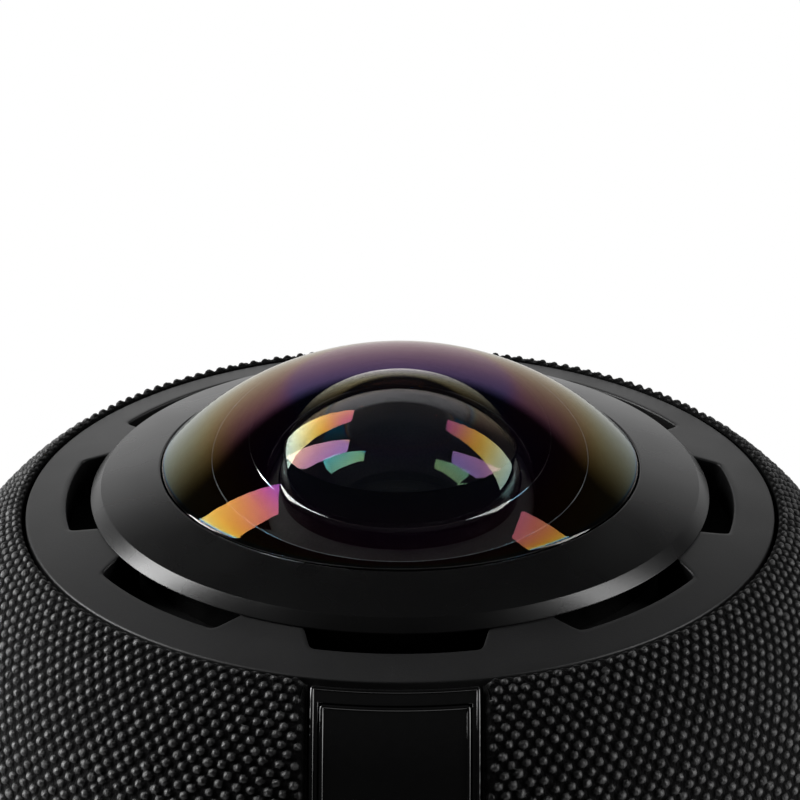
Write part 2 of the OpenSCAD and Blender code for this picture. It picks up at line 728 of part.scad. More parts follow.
module grille_shell() color([0.1, 0.1, 0.1]) difference() {
    union() {
        difference() {
            wall(shell_out, shell_in);
            grille_windows();
        }
        tube(skin_r(shell_in - shell_t / 2, deck_low_z), ledge_bore, ledge_low_z, deck_low_z);
        around(between_slots, deck_screw_r)
            rod(case_boss_r, deck_low_z - case_screw_l, deck_low_z - lap);
        tube(skin_r(shell_in - shell_t / 2, base_top_z), shell_screw_r - case_boss_r,
             base_top_z, base_top_z + ledge_t);
        around(shell_screw_angles, shell_screw_r)
            rod(case_boss_r, base_top_z + ledge_t / 2, base_top_z + shell_boss_h);
    }
    around(between_slots, deck_screw_r)
        rod(case_hole_r, deck_top_z - case_head[1] - head_sink - case_screw_l - blind / 2,
            deck_low_z + lap);
    around(shell_screw_angles, shell_screw_r)
        rod(case_hole_r, base_top_z - lap, base_deck_low_z + case_screw_l + blind / 2);
    around(corners, post_ring_r) rod(post_r + fit, base_top_z - lap, base_top_z + ledge_t + lap);
    intersection() {
        strip_cut(fit, fit);
        wall(-1, strip_in + fit, bezel_r);
    }
}

module fabric_cover() color([0.16, 0.16, 0.17]) difference() {
    wall(0, fabric_t);
    strip_cut(2 * fit, 2 * fit);
}

// Front strip and keys

module key_axes(z_list) for (z = z_list) translate([0, 0, z]) rotate([90, 0, 0]) children();

module strip_frame() color([0.03, 0.03, 0.03]) difference() {
    union() {
        strip_band(strip_out, strip_in, strip_w, strip_start_r, strip_low_z);
        for (z = key_screw_z) rod_y(board_boss_r, 0, z, -skin_r(strip_in, z) - lap, key_board_y);
    }
    strip_band(-1, panel_in, panel_w + fit, panel_start_r - fit / 2, strip_low_z + strip_border);
    key_axes(key_z) rod(key_stem_r + slide_gap, -total_h, total_h);
    key_axes([light_z]) rod(light_r + fit, -total_h, total_h);
    for (z = key_screw_z)
        rod_y(board_hole_r, 0, z, key_board_y + board_t - board_screw_l - blind, key_board_y + lap);
}

module strip_panel() color([0.02, 0.02, 0.02]) difference() {
    strip_band(panel_out, panel_in, panel_w, panel_start_r, strip_low_z + strip_border + fit);
    key_axes(key_z) rod(key_r + slide_gap, -total_h, total_h);
    key_axes([light_z]) rod(light_r + fit / 2, -total_h, total_h);
}

module status_light() color([0.85, 0.9, 0.95])
    rod_y(light_r, 0, light_z, -skin_r(panel_out, light_z), key_board_y - led_h - fit);

// A key: its cap, the stem through the frame and the collar that holds it in
module key(i) {
    z = key_z[i];
    face_y = -skin_r(panel_out - key_proud, z);
    back_y = -skin_r(strip_in, z);
    rod_y(key_r, 0, z, face_y, face_y + key_cap_t);
    rod_y(key_stem_r, 0, z, face_y + lap, switch_front_y - key_travel - key_stop_gap);
    rod_y(key_collar_r, 0, z, back_y + fit, back_y + fit + key_collar_t);
}

module mute_key() color([0.5, 0.1, 0.1]) key(0);
module volume_up_key() color([0.15, 0.15, 0.15]) key(1);
module volume_down_key() color([0.15, 0.15, 0.15]) key(2);
module mode_key() color([0.15, 0.15, 0.15]) key(3);

module key_switches() color([0.6, 0.6, 0.62]) for (z = key_z)
    box([-switch_size[0] / 2, switch_front_y, z - switch_size[2] / 2],
        [switch_size[0] / 2, key_board_y, z + switch_size[2] / 2]);

module key_board() color([0.08, 0.2, 0.12]) difference() {
    union() {
        box([-strip_w / 2 + 1, key_board_y, key_board_z[0]],
            [strip_w / 2 - 1, key_board_y + board_t, key_board_z[1]]);
        box([-led_half, key_board_y - led_h, light_z - led_half],
            [led_half, key_board_y + lap, light_z + led_half]);
    }
    for (z = key_screw_z) rod_y(board_hole_r, 0, z, key_board_y - lap, key_board_y + board_t + lap);
}

// Speaker

cone_neck_z = coil_low_z + 1;

// Inner radius of the basket's sloping wall at a height
basket_back_r = magnet_r - 1;
function basket_in_r(z) = speaker_mouth_r
    + (basket_back_r - speaker_mouth_r) * (z - seat_z - seat_t) / (basket_top_z - seat_z - seat_t);

module speaker_basket() color([0.2, 0.2, 0.22]) difference() {
    union() {
        tube(speaker_flange_r, speaker_mouth_r, speaker_low_z, baffle_low_z);
        tube(basket_r, speaker_mouth_r, baffle_low_z - lap, seat_z + seat_t);
        tube(basket_r, speaker_mouth_r - seat_w, seat_z, seat_z + seat_t);
        rotate_extrude() polygon([
            [speaker_mouth_r, seat_z + seat_t], [basket_r, seat_z + seat_t],
            [basket_back_r + rim_wall, basket_top_z], [basket_back_r, basket_top_z]]);
        tube(basket_in_r(spider_z) + rim_wall / 2, basket_in_r(spider_z) - spider_seat_w,
             spider_z, spider_z + spider_seat_t);
        tube(basket_back_r + rim_wall, coil_out_r + 2, basket_top_z - lap, magnet_low_z);
        rotate(lead_turn) box([basket_in_r(spider_z), -lug_half, spider_z],
                              [lead_ring_r + lug_edge, lug_half, spider_z + lug_t]);
    }
    around(quarter, basket_back_r - 2) translate([0, -basket_window_w / 2, seat_z + 4])
        cube([beyond, basket_window_w, spider_z - seat_z - 6]);
    around(between_slots, speaker_screw_r)
        rod(case_hole_r, speaker_low_z - lap, baffle_low_z + lap);
}

module speaker_magnet() color([0.3, 0.3, 0.32]) {
    back_z = magnet_low_z + plate_t + magnet_t;
    rotate_extrude() polygon([
        [0, magnet_low_z - 1], [coil_r - pole_gap, magnet_low_z - 1], [coil_r - pole_gap, back_z],
        [coil_out_r + 3, back_z], [coil_out_r + 3, magnet_low_z + plate_t],
        [coil_out_r + pole_gap, magnet_low_z + plate_t], [coil_out_r + pole_gap, magnet_low_z],
        [magnet_r, magnet_low_z], [magnet_r, back_z + plate_t], [0, back_z + plate_t]]);
}

cone_t = 0.8;

module speaker_cone() color([0.15, 0.15, 0.16]) rotate_extrude() {
    polygon([
        [neck_bore, cone_neck_z + cone_t], [cone_r - 1.2, seat_z + cone_t], [cone_r, seat_z + cone_t],
        [cone_r, seat_z], [cone_r - 1.4, seat_z], [neck_bore, cone_neck_z - 0.4]]);
    polygon([
        [0, coil_low_z - 1.6], [coil_r - 1, coil_low_z - 1.1], [neck_bore + 0.8, coil_low_z - 0.3],
        [neck_bore + 0.8, cone_neck_z], [neck_bore, cone_neck_z], [neck_bore, coil_low_z - 0.1],
        [coil_r - 1, coil_low_z - 0.4], [0, coil_low_z - 0.8]]);
}

module voice_coil() color([0.72, 0.45, 0.2]) tube(coil_out_r, coil_r, coil_low_z, coil_top_z);

// The roll between the cone and the basket
module speaker_surround() color([0.08, 0.08, 0.08]) rotate_extrude() {
    difference() {
        intersection() {
            translate([roll_c, seat_z - surround_t]) circle(r = roll_r);
            translate([0, seat_z - surround_t - 2 * roll_r]) square([speaker_mouth_r, 2 * roll_r]);
        }
        translate([roll_c, seat_z - surround_t]) circle(r = roll_r - surround_t);
    }
    translate([cone_r - 1.1, seat_z - surround_t]) square([1.1 + surround_t, surround_t]);
    translate([roll_c + roll_r - surround_t, seat_z - surround_t])
        square([speaker_mouth_r - fit - roll_c - roll_r + surround_t, surround_t]);
}

spider_t = 0.4;
spider_waves = 4;
spider_wave_h = 1.2;

// The pleated disc that centres the coil
module speaker_spider() color([0.75, 0.6, 0.3]) {
    r0 = neck_bore;
    r1 = basket_in_r(spider_z) - fit;
    flat_r = r1 - spider_seat_w;
    steps = 2 * spider_waves;
    zig = [for (i = [0 : steps])
        [r0 + (flat_r - r0) * i / steps, spider_z - spider_t - (i % 2) * spider_wave_h]];
    edge = concat(zig, [[r1, spider_z - spider_t]]);
    rotate_extrude() polygon(concat(edge, reversed([for (p = edge) p + [0, spider_t]])));
}

// The way for the link ribbon past the chamber's flange
link_w = 8;
link_y = chamber_flange_r - 1.6;
module link_notch(z0, z1) box([-link_w / 2 - 1, link_y - 1, z0], [link_w / 2 + 1, body_r, z1]);

module chamber_baffle() color([0.11, 0.11, 0.12]) difference() {
    union() {
        rod(chamber_flange_r, baffle_low_z, baffle_top_z);
        around(between_slots, speaker_screw_r)
            rod(case_boss_r, baffle_low_z, baffle_top_z + speaker_boss_h);
    }
    rod(baffle_bore, baffle_low_z - lap, baffle_top_z + beyond);
    around(corners, post_ring_r) rod(case_hole_r, baffle_low_z - lap, baffle_top_z + lap);
    around(between_slots, speaker_screw_r)
        rod(case_hole_r, baffle_low_z - lap, speaker_low_z + case_screw_l + blind / 2);
    link_notch(baffle_low_z - lap, baffle_top_z + lap);
}

module chamber_tub() color([0.11, 0.11, 0.12]) difference() {
    union() {
        rotate_extrude() polygon([
            [chamber_flange_r, baffle_top_z], [chamber_flange_r, baffle_top_z + tub_flange_t],
            [tub_r, baffle_top_z + tub_flange_t], [tub_r, tub_top_z], [0, tub_top_z],
            [0, tub_top_z - tub_t], [tub_in_r, tub_top_z - tub_t], [tub_in_r, baffle_top_z]]);
        for (side = [-1, 1]) translate([side * pad_x - pad_size[0] / 2, board_back_y, tub_top_z - lap])
            cube([pad_size[0], pad_size[1], pad_size[2] + lap]);
    }
    around(corners, post_ring_r)
        rod(case_hole_r, baffle_top_z - lap, baffle_top_z + tub_flange_t + lap);
    for (side = [-1, 1], z = pad_screw_z) rod_y(board_hole_r, side * pad_x, z,
        board_back_y - lap, main_board_y + board_screw_l + blind);
    for (side = [-1, 1]) translate([lead_x + side * lead_gap / 2, lead_y, 0])
        rod(wire_r + fit / 2, tub_top_z - tub_t - lap, tub_top_z + lap);
    link_notch(baffle_top_z - lap, baffle_top_z + tub_flange_t + lap);
}

module sound_diffuser() color([0.1, 0.1, 0.1]) translate([0, 0, base_top_z])
    rotate_extrude() polygon(concat([[0, 0], [diffuser_r, 0], [diffuser_r, 1]],
        [for (i = [1 : 6]) let (t = i / 6) [diffuser_r * pow(1 - t, 1.6), 1 + (diffuser_h - 1) * t]]));

// Electronics

module main_board() color([0.06, 0.16, 0.1]) difference() {
    union() {
        box([-main_board_w / 2, main_board_y, tub_top_z], [main_board_w / 2, board_back_y, board_top_z]);
        box([lead_x - terminal_half, board_back_y - lap, terminal_z[0]],
            [lead_x + terminal_half, lead_y + 2, terminal_z[1]]);
    }
    for (side = [-1, 1], z = pad_screw_z)
        rod_y(board_hole_r, side * pad_x, z, main_board_y - lap, board_back_y + lap);
}

module processor() color([0.1, 0.1, 0.11])
    translate([-processor_size[0] / 2, board_back_y, processor_z - processor_size[2] / 2])
        cube(processor_size);

heat_sink_y = board_back_y + processor_size[1];
heat_sink_base_t = 3;
fin_t = 1.4;

module heat_sink() color([0.55, 0.56, 0.58])
    translate([-heat_sink_side / 2, heat_sink_y, processor_z - heat_sink_side / 2]) {
        cube([heat_sink_side, heat_sink_base_t, heat_sink_side]);
        for (i = [0 : fin_count - 1])
            translate([i * (heat_sink_side - fin_t) / (fin_count - 1), heat_sink_base_t - lap, 0])
                cube([fin_t, fin_h + lap, heat_sink_side]);
    }

half_ribbon = ribbon_t / 2;
ribbon_bend = 3;                  // rise of a ribbon's bend
ribbon_lie = 5;                   // length of a ribbon that lies on a board
wide_ribbon_w = 10;
slim_ribbon_w = 7;
front_ribbon_y = main_board_y - half_ribbon;
back_ribbon_y = board_back_y + half_ribbon;

module camera_ribbon() color([0.85, 0.7, 0.4]) ribbon([
    [front_ribbon_y - ribbon_bend - ribbon_lie, sensor_board_low_z - half_ribbon],
    [front_ribbon_y - ribbon_bend, sensor_board_low_z - half_ribbon],
    [front_ribbon_y, sensor_board_low_z - ribbon_bend],
    [front_ribbon_y, board_top_z - 2 * ribbon_lie]], 0, wide_ribbon_w);

microphone_ribbon_x = 12;
microphone_ribbon_y = microphone_board_r - 2 * ribbon_bend;

module microphone_ribbon() color([0.85, 0.7, 0.4]) ribbon([
    [microphone_ribbon_y - ribbon_bend - ribbon_lie, microphone_board_low_z - half_ribbon],
    [microphone_ribbon_y - ribbon_bend, microphone_board_low_z - half_ribbon],
    [microphone_ribbon_y, microphone_board_low_z - ribbon_bend],
    [microphone_ribbon_y, board_top_z + 2 * ribbon_bend],
    [back_ribbon_y + ribbon_bend, board_top_z], [back_ribbon_y, board_top_z - ribbon_bend],
    [back_ribbon_y, board_top_z - ribbon_bend - ribbon_lie]], microphone_ribbon_x, slim_ribbon_w);

key_ribbon_y = key_board_y + board_t + half_ribbon;

module key_ribbon() color([0.85, 0.7, 0.4]) ribbon([
    [key_ribbon_y, key_z[1] + ribbon_lie], [key_ribbon_y, key_z[1]],
    [key_ribbon_y + 2 * ribbon_bend, key_z[1] - ribbon_lie],
    [front_ribbon_y - 2 * ribbon_bend, key_z[1] - ribbon_lie],
    [front_ribbon_y, key_z[1]], [front_ribbon_y, key_z[1] + ribbon_lie]], 0, slim_ribbon_w);

link_deck_y = diffuser_r + ribbon_bend;

module link_ribbon() color([0.85, 0.7, 0.4]) ribbon([
    [port_board_y[0] + ribbon_bend, port_board_top_z + half_ribbon],
    [link_deck_y - ribbon_bend, port_board_top_z + half_ribbon],
    [link_deck_y, port_board_top_z + ribbon_bend], [link_deck_y, base_top_z + ribbon_bend],
    [link_y, base_top_z + 2 * ribbon_lie], [link_y, tub_top_z - ribbon_bend],
    [link_y - ribbon_bend, tub_top_z + ribbon_bend / 2],
    [back_ribbon_y + 2 * ribbon_bend, tub_top_z + ribbon_bend / 2],
    [back_ribbon_y, tub_top_z + ribbon_lie], [back_ribbon_y, tub_top_z + 3 * ribbon_lie]], 0, link_w);

module speaker_lead() color([0.7, 0.1, 0.1]) for (side = [-1, 1])
    translate([lead_x + side * lead_gap / 2, lead_y, 0]) rod(wire_r, spider_z + lug_t, terminal_z[0]);

// Base

module base_housing() color([0.06, 0.06, 0.06]) difference() {
    union() {
        rotate_extrude() polygon([
            [base_r - base_chamfer, base_low_z], [base_r, base_low_z + base_chamfer], [base_r, base_top_z],
            [0, base_top_z],
            [0, base_deck_low_z], [base_in_r, base_deck_low_z], [base_in_r, base_low_z]]);
        around(base_screw_angles, base_screw_r)
            rod(case_boss_r, plate_top_z, base_deck_low_z + lap);
        around(corners, post_ring_r) rod(post_r, base_top_z - lap, baffle_low_z);
        intersection() {
            box([-port_pad_half, port_pad_in_y, plate_top_z + fit],
                [port_pad_half, body_r, base_deck_low_z + lap]);
            rod(base_r - base_wall / 2, base_low_z, base_top_z);
        }
    }
    box([-port_pad_half + pocket_edge, port_face_y, plate_top_z + pocket_edge],
        [port_pad_half - pocket_edge, body_r, base_deck_low_z - pocket_edge]);
    around(base_screw_angles, base_screw_r)
        rod(case_hole_r, plate_top_z - lap, base_low_z + case_head[1] + head_sink + case_screw_l + blind);
    around(corners, post_ring_r)
        rod(case_hole_r, baffle_top_z + tub_flange_t - case_screw_l - blind, baffle_low_z + lap);
    around(shell_screw_angles, shell_screw_r)
        rod(case_hole_r, base_deck_low_z - lap, base_top_z + lap);
    box([-link_w / 2 - 1, link_deck_y - 1, base_deck_low_z - lap],
        [link_w / 2 + 1, link_deck_y + 1, base_top_z + lap]);
    rod_y(power_r + slide_gap, button_x, button_z, port_pad_in_y - lap, body_r);
    rod_y(jack_nose_r + fit, jack_x, jack_z, port_pad_in_y - lap, body_r);
    translate([0, port_pad_in_y - lap, usb_z]) rotate([-90, 0, 0])
        linear_extrude(beyond) offset_stadium(fit);
}

// Outline of the data port's shell, grown by a gap
module offset_stadium(gap) {
    r = usb_size[1] / 2 + gap;
    half = usb_size[0] / 2 - usb_size[1] / 2;
    square([2 * half, 2 * r], center = true);
    for (side = [-1, 1]) translate([side * half, 0]) circle(r = r);
}

module base_plate() color([0.25, 0.25, 0.26]) difference() {
    union() {
        rod(plate_r, base_low_z, plate_top_z);
        for (side = [-1, 1]) translate([side * port_screw_x, port_screw_y, 0])
            rod(board_boss_r, plate_top_z - lap, port_board_z);
    }
    tube(foot_out_r + fit, foot_in_r - fit, base_low_z - lap, base_low_z + foot_sink);
    around(base_screw_angles, base_screw_r) {
        rod(case_hole_r, base_low_z - lap, plate_top_z + lap);
        rod(case_head[0] + fit, base_low_z - lap, base_low_z + case_head[1] + head_sink);
    }
    for (side = [-1, 1]) translate([side * port_screw_x, port_screw_y, 0])
        rod(board_hole_r, port_board_top_z - board_screw_l - blind / 2, port_board_z + lap);
    rod(insert_r + fit, base_low_z - lap, plate_top_z + lap);
}

module foot_ring() color([0.05, 0.05, 0.05]) tube(foot_out_r, foot_in_r, 0, base_low_z + foot_sink);

insert_r = tripod_r + 2;
insert_flange_r = insert_r + 2;

module tripod_insert() color([0.75, 0.6, 0.25]) difference() {
    union() {
        rod(insert_r, base_low_z, base_low_z + tripod_depth + 1);
        rod(insert_flange_r, plate_top_z, plate_top_z + 1.5);
    }
    rod(tripod_r, base_low_z - lap, base_low_z + tripod_depth);
}

module port_board() color([0.08, 0.2, 0.12]) difference() {
    intersection() {
        box([-port_screw_x - 3, port_board_y[0], port_board_z],
            [port_screw_x + 3, port_board_y[1], port_board_top_z]);
        rod(plate_r, base_low_z, base_top_z);
    }
    for (side = [-1, 1]) translate([side * port_screw_x, port_screw_y, 0])
        rod(board_hole_r, port_board_z - lap, port_board_top_z + lap);
}

module data_port() color([0.7, 0.7, 0.72])
        translate([0, port_face_y - usb_sink, usb_z]) rotate([90, 0, 0]) {
    difference() {
        linear_extrude(usb_l) offset_stadium(0);
        translate([0, 0, -lap]) linear_extrude(usb_l - usb_back_t + lap) offset_stadium(-usb_wall);
    }
    translate([-usb_tongue[0] / 2, -usb_tongue[1] / 2, usb_tongue_sink])
        cube([usb_tongue[0], usb_tongue[1], usb_l - usb_back_t]);
}

module power_jack() color([0.07, 0.07, 0.07]) {
    mouth_y = port_face_y - jack_sink;
    difference() {
        union() {
            translate([jack_x - jack_size[0] / 2, port_pad_in_y - jack_size[1], port_board_top_z])
                cube(jack_size);
            rod_y(jack_nose_r, jack_x, jack_z, port_pad_in_y - lap, mouth_y);
        }
        rod_y(jack_bore_r, jack_x, jack_z, mouth_y - jack_bore_l, mouth_y + lap);
    }
    rod_y(jack_pin_r, jack_x, jack_z, mouth_y - jack_bore_l - lap, mouth_y - jack_pin_sink);
}

module power_button() color([0.2, 0.2, 0.2]) {
    stem_end_y = power_switch_y[1] + power_travel + key_stop_gap;
    rod_y(power_r, button_x, button_z, port_pad_in_y - power_collar_t, port_face_y + power_proud);
    rod_y(power_r + power_collar_w, button_x, button_z,
          port_pad_in_y - power_collar_t - fit, port_pad_in_y - fit);
    rod_y(power_stem_r, button_x, button_z, stem_end_y, port_pad_in_y - power_collar_t + lap);
}

module power_switch() color([0.6, 0.6, 0.62])
    translate([button_x - power_switch_size[0] / 2, power_switch_y[0], port_board_top_z])
        cube(power_switch_size);

// Screws

module case_screws() color([0.3, 0.3, 0.31]) {
    around(between_slots, deck_screw_r)
        translate([0, 0, deck_top_z - case_head[1] - head_sink]) case_screw();
    around(between_slots, bezel_screw_r)
        translate([0, 0, deck_low_z]) rotate([180, 0, 0]) case_screw();
    around(shell_screw_angles, shell_screw_r)
        translate([0, 0, base_deck_low_z]) rotate([180, 0, 0]) case_screw();
    around(corners, post_ring_r)
        translate([0, 0, baffle_top_z + tub_flange_t]) case_screw();
    around(between_slots, speaker_screw_r)
        translate([0, 0, speaker_low_z]) rotate([180, 0, 0]) case_screw();
    around(base_screw_angles, base_screw_r)
        translate([0, 0, base_low_z + case_head[1] + head_sink]) rotate([180, 0, 0]) case_screw();
}

module board_screws() color([0.55, 0.55, 0.56]) {
    for (x = [-1, 1], y = [-1, 1])
        translate([x * sensor_screw_x, y * sensor_screw_x, sensor_board_low_z])
            rotate([180, 0, 0]) board_screw();
    around(corners, microphone_screw_r)
        translate([0, 0, microphone_board_low_z]) rotate([180, 0, 0]) board_screw();
    for (z = key_screw_z) translate([0, key_board_y + board_t, z]) rotate([-90, 0, 0]) board_screw();
    for (side = [-1, 1], z = pad_screw_z)
        translate([side * pad_x, main_board_y, z]) rotate([90, 0, 0]) board_screw();
    for (side = [-1, 1]) translate([side * port_screw_x, port_screw_y, port_board_top_z]) board_screw();
}

lens_front_element();
lens_seal();
lens_bezel();
lens_barrel();
lens_second_element();
lens_spacer();
lens_third_element();
lens_rear_element();
infrared_filter();
image_sensor();
sensor_board();
top_ring();
top_deck();
microphone_gaskets();
microphones();
microphone_board();
grille_shell();
fabric_cover();
strip_frame();
strip_panel();
status_light();
mute_key();
volume_up_key();
volume_down_key();
mode_key();
key_switches();
key_board();
speaker_basket();
speaker_magnet();
speaker_cone();
voice_coil();
speaker_surround();
speaker_spider();
chamber_baffle();
chamber_tub();
sound_diffuser();
main_board();
processor();
heat_sink();
camera_ribbon();
microphone_ribbon();
key_ribbon();
link_ribbon();
speaker_lead();
base_housing();
base_plate();
foot_ring();
tripod_insert();
port_board();
data_port();
power_jack();
power_button();
power_switch();
case_screws();
board_screws();
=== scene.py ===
import json
import math

import bpy
import numpy as np
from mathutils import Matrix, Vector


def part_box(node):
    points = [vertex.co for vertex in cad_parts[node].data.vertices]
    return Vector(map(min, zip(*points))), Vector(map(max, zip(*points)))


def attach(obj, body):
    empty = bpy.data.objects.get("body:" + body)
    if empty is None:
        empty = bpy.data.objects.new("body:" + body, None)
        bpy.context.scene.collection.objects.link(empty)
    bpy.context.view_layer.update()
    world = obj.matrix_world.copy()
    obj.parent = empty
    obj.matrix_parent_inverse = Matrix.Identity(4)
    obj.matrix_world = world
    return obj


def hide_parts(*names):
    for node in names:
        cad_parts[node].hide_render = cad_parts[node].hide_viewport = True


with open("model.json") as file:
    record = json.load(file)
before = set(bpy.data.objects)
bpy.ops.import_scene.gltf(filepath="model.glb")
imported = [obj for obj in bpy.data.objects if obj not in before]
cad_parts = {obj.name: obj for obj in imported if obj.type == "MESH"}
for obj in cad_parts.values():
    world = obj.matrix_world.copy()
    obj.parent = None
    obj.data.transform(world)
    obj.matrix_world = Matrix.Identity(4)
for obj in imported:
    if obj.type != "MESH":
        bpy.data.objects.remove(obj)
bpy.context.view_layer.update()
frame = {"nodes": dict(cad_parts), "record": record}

bl_info = {
    "name": "360 Degree Camera",
    "version": (1, 0, 0),
    "blender": (4, 5, 0),
    "location": "3D View > Sidebar > Camera",
    "description": "Dresses the packed table-top camera with its lens, trim, knit cover and studio",
    "category": "Object",
}

MM = 0.001
HOUSING = "housing"
KEYS = ("mute_key", "volume_up_key", "volume_down_key", "mode_key")
SLOT_OF = {row["node"]: row["material_slot"] for row in frame["record"]["subparts"]}


def box_mm(node):
    """Lowest and highest corner of a CAD node, in mm."""
    return [np.array(corner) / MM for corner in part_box(node)]


DOME_LOW, DOME_HIGH = box_mm("lens_front_element")
SEAL_LOW, SEAL_HIGH = box_mm("lens_seal")
SECOND_LOW, SECOND_HIGH = box_mm("lens_second_element")
THIRD_LOW, THIRD_HIGH = box_mm("lens_third_element")
BARREL_TOP = box_mm("lens_barrel")[1][2]
BEZEL_LOW, BEZEL_HIGH = box_mm("lens_bezel")
RING_LOW, RING_HIGH = box_mm("top_ring")
COVER_LOW, COVER_HIGH = box_mm("fabric_cover")
FRAME_LOW, FRAME_HIGH = box_mm("strip_frame")
PANEL_LOW, PANEL_HIGH = box_mm("strip_panel")
LIGHT_LOW, LIGHT_HIGH = box_mm("status_light")
FOOT_LOW, FOOT_HIGH = box_mm("foot_ring")
INSERT_LOW, INSERT_HIGH = box_mm("tripod_insert")


# Settings that a user would change


def length(name, description, mm):
    """A length setting, given in mm and kept in metres."""
    return bpy.props.FloatProperty(
        name=name, description=description, default=mm * MM, min=0.0, precision=5,
        unit="LENGTH", subtype="DISTANCE")


def turn(name, description, degrees):
    """An angle setting, given in degrees and kept in radians."""
    return bpy.props.FloatProperty(
        name=name, description=description, default=math.radians(degrees),
        unit="ROTATION", subtype="ANGLE")


def colour(name, description, value):
    """A colour setting."""
    return bpy.props.FloatVectorProperty(
        name=name, description=description, default=value, size=3, min=0.0, max=1.0,
        subtype="COLOR")


def number(name, description, value):
    """A plain number setting."""
    return bpy.props.FloatProperty(name=name, description=description, default=value, min=0.0)


def count(name, description, value, least):
    """A whole number setting."""
    return bpy.props.IntProperty(name=name, description=description, default=value, min=least)


class LensSettings(bpy.types.PropertyGroup):
    """Sizes of the lens and the thickness of its coatings."""

    dome_radius: length("Dome radius", "Radius of the outer face of the front element", 32.75)
    rim_round: length("Rim round", "Bare polished round at the edge of the dome", 0.4)
    hollow_radius: length("Hollow radius", "Radius of the hollow in the front element", 15.75)
    glass_centre: length("Centre thickness", "Glass above the hollow", 1.7)
    second_front: length("Second front", "Radius of the front of the second element", 20.0)
    second_back: length("Second back", "Radius of the hollow in the second element", 13.0)
    film_middle: number("Middle film", "Coating within 10 mm of the axis, in nanometres", 441.0)
    film_side: number("Side film", "Coating 17 mm from the axis, in nanometres", 380.0)
    film_rim: number("Rim film", "Coating at the rim, in nanometres", 292.0)


class TrimSettings(bpy.types.PropertyGroup):
    """Sizes of the ring, bezel and front strip."""

    bezel_slope: turn("Bezel slope", "Slope of the bezel's face", 17.7)
    bezel_chamfer: length("Bezel chamfer", "Width of the bezel's chamfer", 1.2)
    bezel_chamfer_drop: length("Bezel chamfer drop", "Height of the bezel's chamfer", 1.35)
    ring_slope: turn("Ring slope", "Slope of the ring's face", 12.5)
    ring_edge: length("Ring edge", "Round at the outer edge of the ring", 0.25)
    slot_count: count("Slots", "Sound slots round the ring", 8, 1)
    slot_radius: length("Slot radius", "Outer radius of the sound slots", 33.4)
    slot_half_angle: turn("Slot half angle", "Half the angle of a slot at its outer edge", 14.0)
    slot_flare: turn("Slot flare", "How far the ends of a slot lean outwards", 25.0)
    strip_round: length("Strip edge", "Radius of the lips round the frame and the panel", 0.22)


class KnitSettings(bpy.types.PropertyGroup):
    """Pattern of the knit cover."""

    columns: count("Columns", "Knots round the body in one row", 180, 12)
    row_pitch: length("Row pitch", "Distance between rows of knots", 0.91)
    knot_height: length("Knot height", "How far a knot stands off the ground", 0.34)
    knot_length: length("Knot length", "Half the height of a knot along the body", 0.45)
    knot_width: number("Knot width", "Half a knot's width as a share of the column pitch", 0.305)
    hem_round: length("Hem round", "Radius of the rolled edge beside the strip", 0.8)


class ColourSettings(bpy.types.PropertyGroup):
    """Colours of the finishes that show."""

    # The dark end of the yarn ramp also colours the painted shade between knots.
    yarn_dark: colour("Dark yarn", "Darkest knots of the cover", (0.0012, 0.0012, 0.0013))
    yarn_light: colour("Light yarn", "Lightest knots of the cover", (0.0085, 0.0085, 0.009))
    ring: colour("Ring", "Textured ring", (0.012, 0.012, 0.0125))
    bezel: colour("Bezel", "Satin bezel", (0.0025, 0.0025, 0.0027))
    gloss: colour("Gloss", "Glossy strip", (0.003, 0.003, 0.0032))
    mute: colour("Mute key", "Cap of the mute key", (0.250, 0.012, 0.014))
    floor: colour("Floor", "Studio floor", (0.860, 0.860, 0.860))


class StudioSettings(bpy.types.PropertyGroup):
    """Camera and lamps."""

    camera_reach: length("Camera reach", "Camera to the axis, level", 374.19)
    camera_height: length("Camera height", "Camera above the table", 396.82)
    camera_turn: turn("Camera turn", "Camera round the axis, towards +X", 0.65)
    camera_tilt: turn("Camera tilt", "Camera below the horizon", 24.467)
    lamp_power: bpy.props.FloatProperty(
        name="Lamp power", description="Power of the left soft box", default=9.5, min=0.0,
        unit="POWER")
    ambient: number("Ambient", "Light of the dark side of the studio", 0.025)


SETTINGS = {
    "camera_lens": LensSettings,
    "camera_trim": TrimSettings,
    "camera_knit": KnitSettings,
    "camera_colours": ColourSettings,
    "camera_studio": StudioSettings,
}


# Surfaces


def grid_patch(grid, round_rows=False, round_columns=False):
    """A grid of points as a patch, (points, faces). Each face joins a point to the next in its
    row and in the next row, and the grid closes on itself where asked."""
    rows, columns = grid.shape[:2]
    i, j = np.meshgrid(np.arange(rows - (not round_rows)),
                       np.arange(columns - (not round_columns)), indexing="ij")
    here, below = i * columns, (i + 1) % rows * columns
    beside = (j + 1) % columns
    faces = np.stack([here + j, here + beside, below + beside, below + j], axis=-1)
    return grid.reshape(-1, 3), faces.reshape(-1, 4)


def joined(*patches):
    """Several patches as one."""
    starts = np.cumsum([0] + [len(points) for points, _ in patches[:-1]])
    return (np.concatenate([points for points, _ in patches]),
            np.concatenate([faces + start for (_, faces), start in zip(patches, starts)]))


def polar(radius, angle, height):
    """Points (radius cos angle, radius sin angle, height), spread over each other's axes."""
    return np.stack(np.broadcast_arrays(
        radius * np.cos(angle), radius * np.sin(angle), height), axis=-1)


def spin(profile, steps, round_profile=True):
    """A profile of (radius, height) points carried round the Z axis."""
    angle = np.linspace(0, 2 * np.pi, steps, endpoint=False)
    radius, height = np.asarray(profile, float).T[:, :, None]
    return grid_patch(polar(radius, angle, height), round_profile, True)


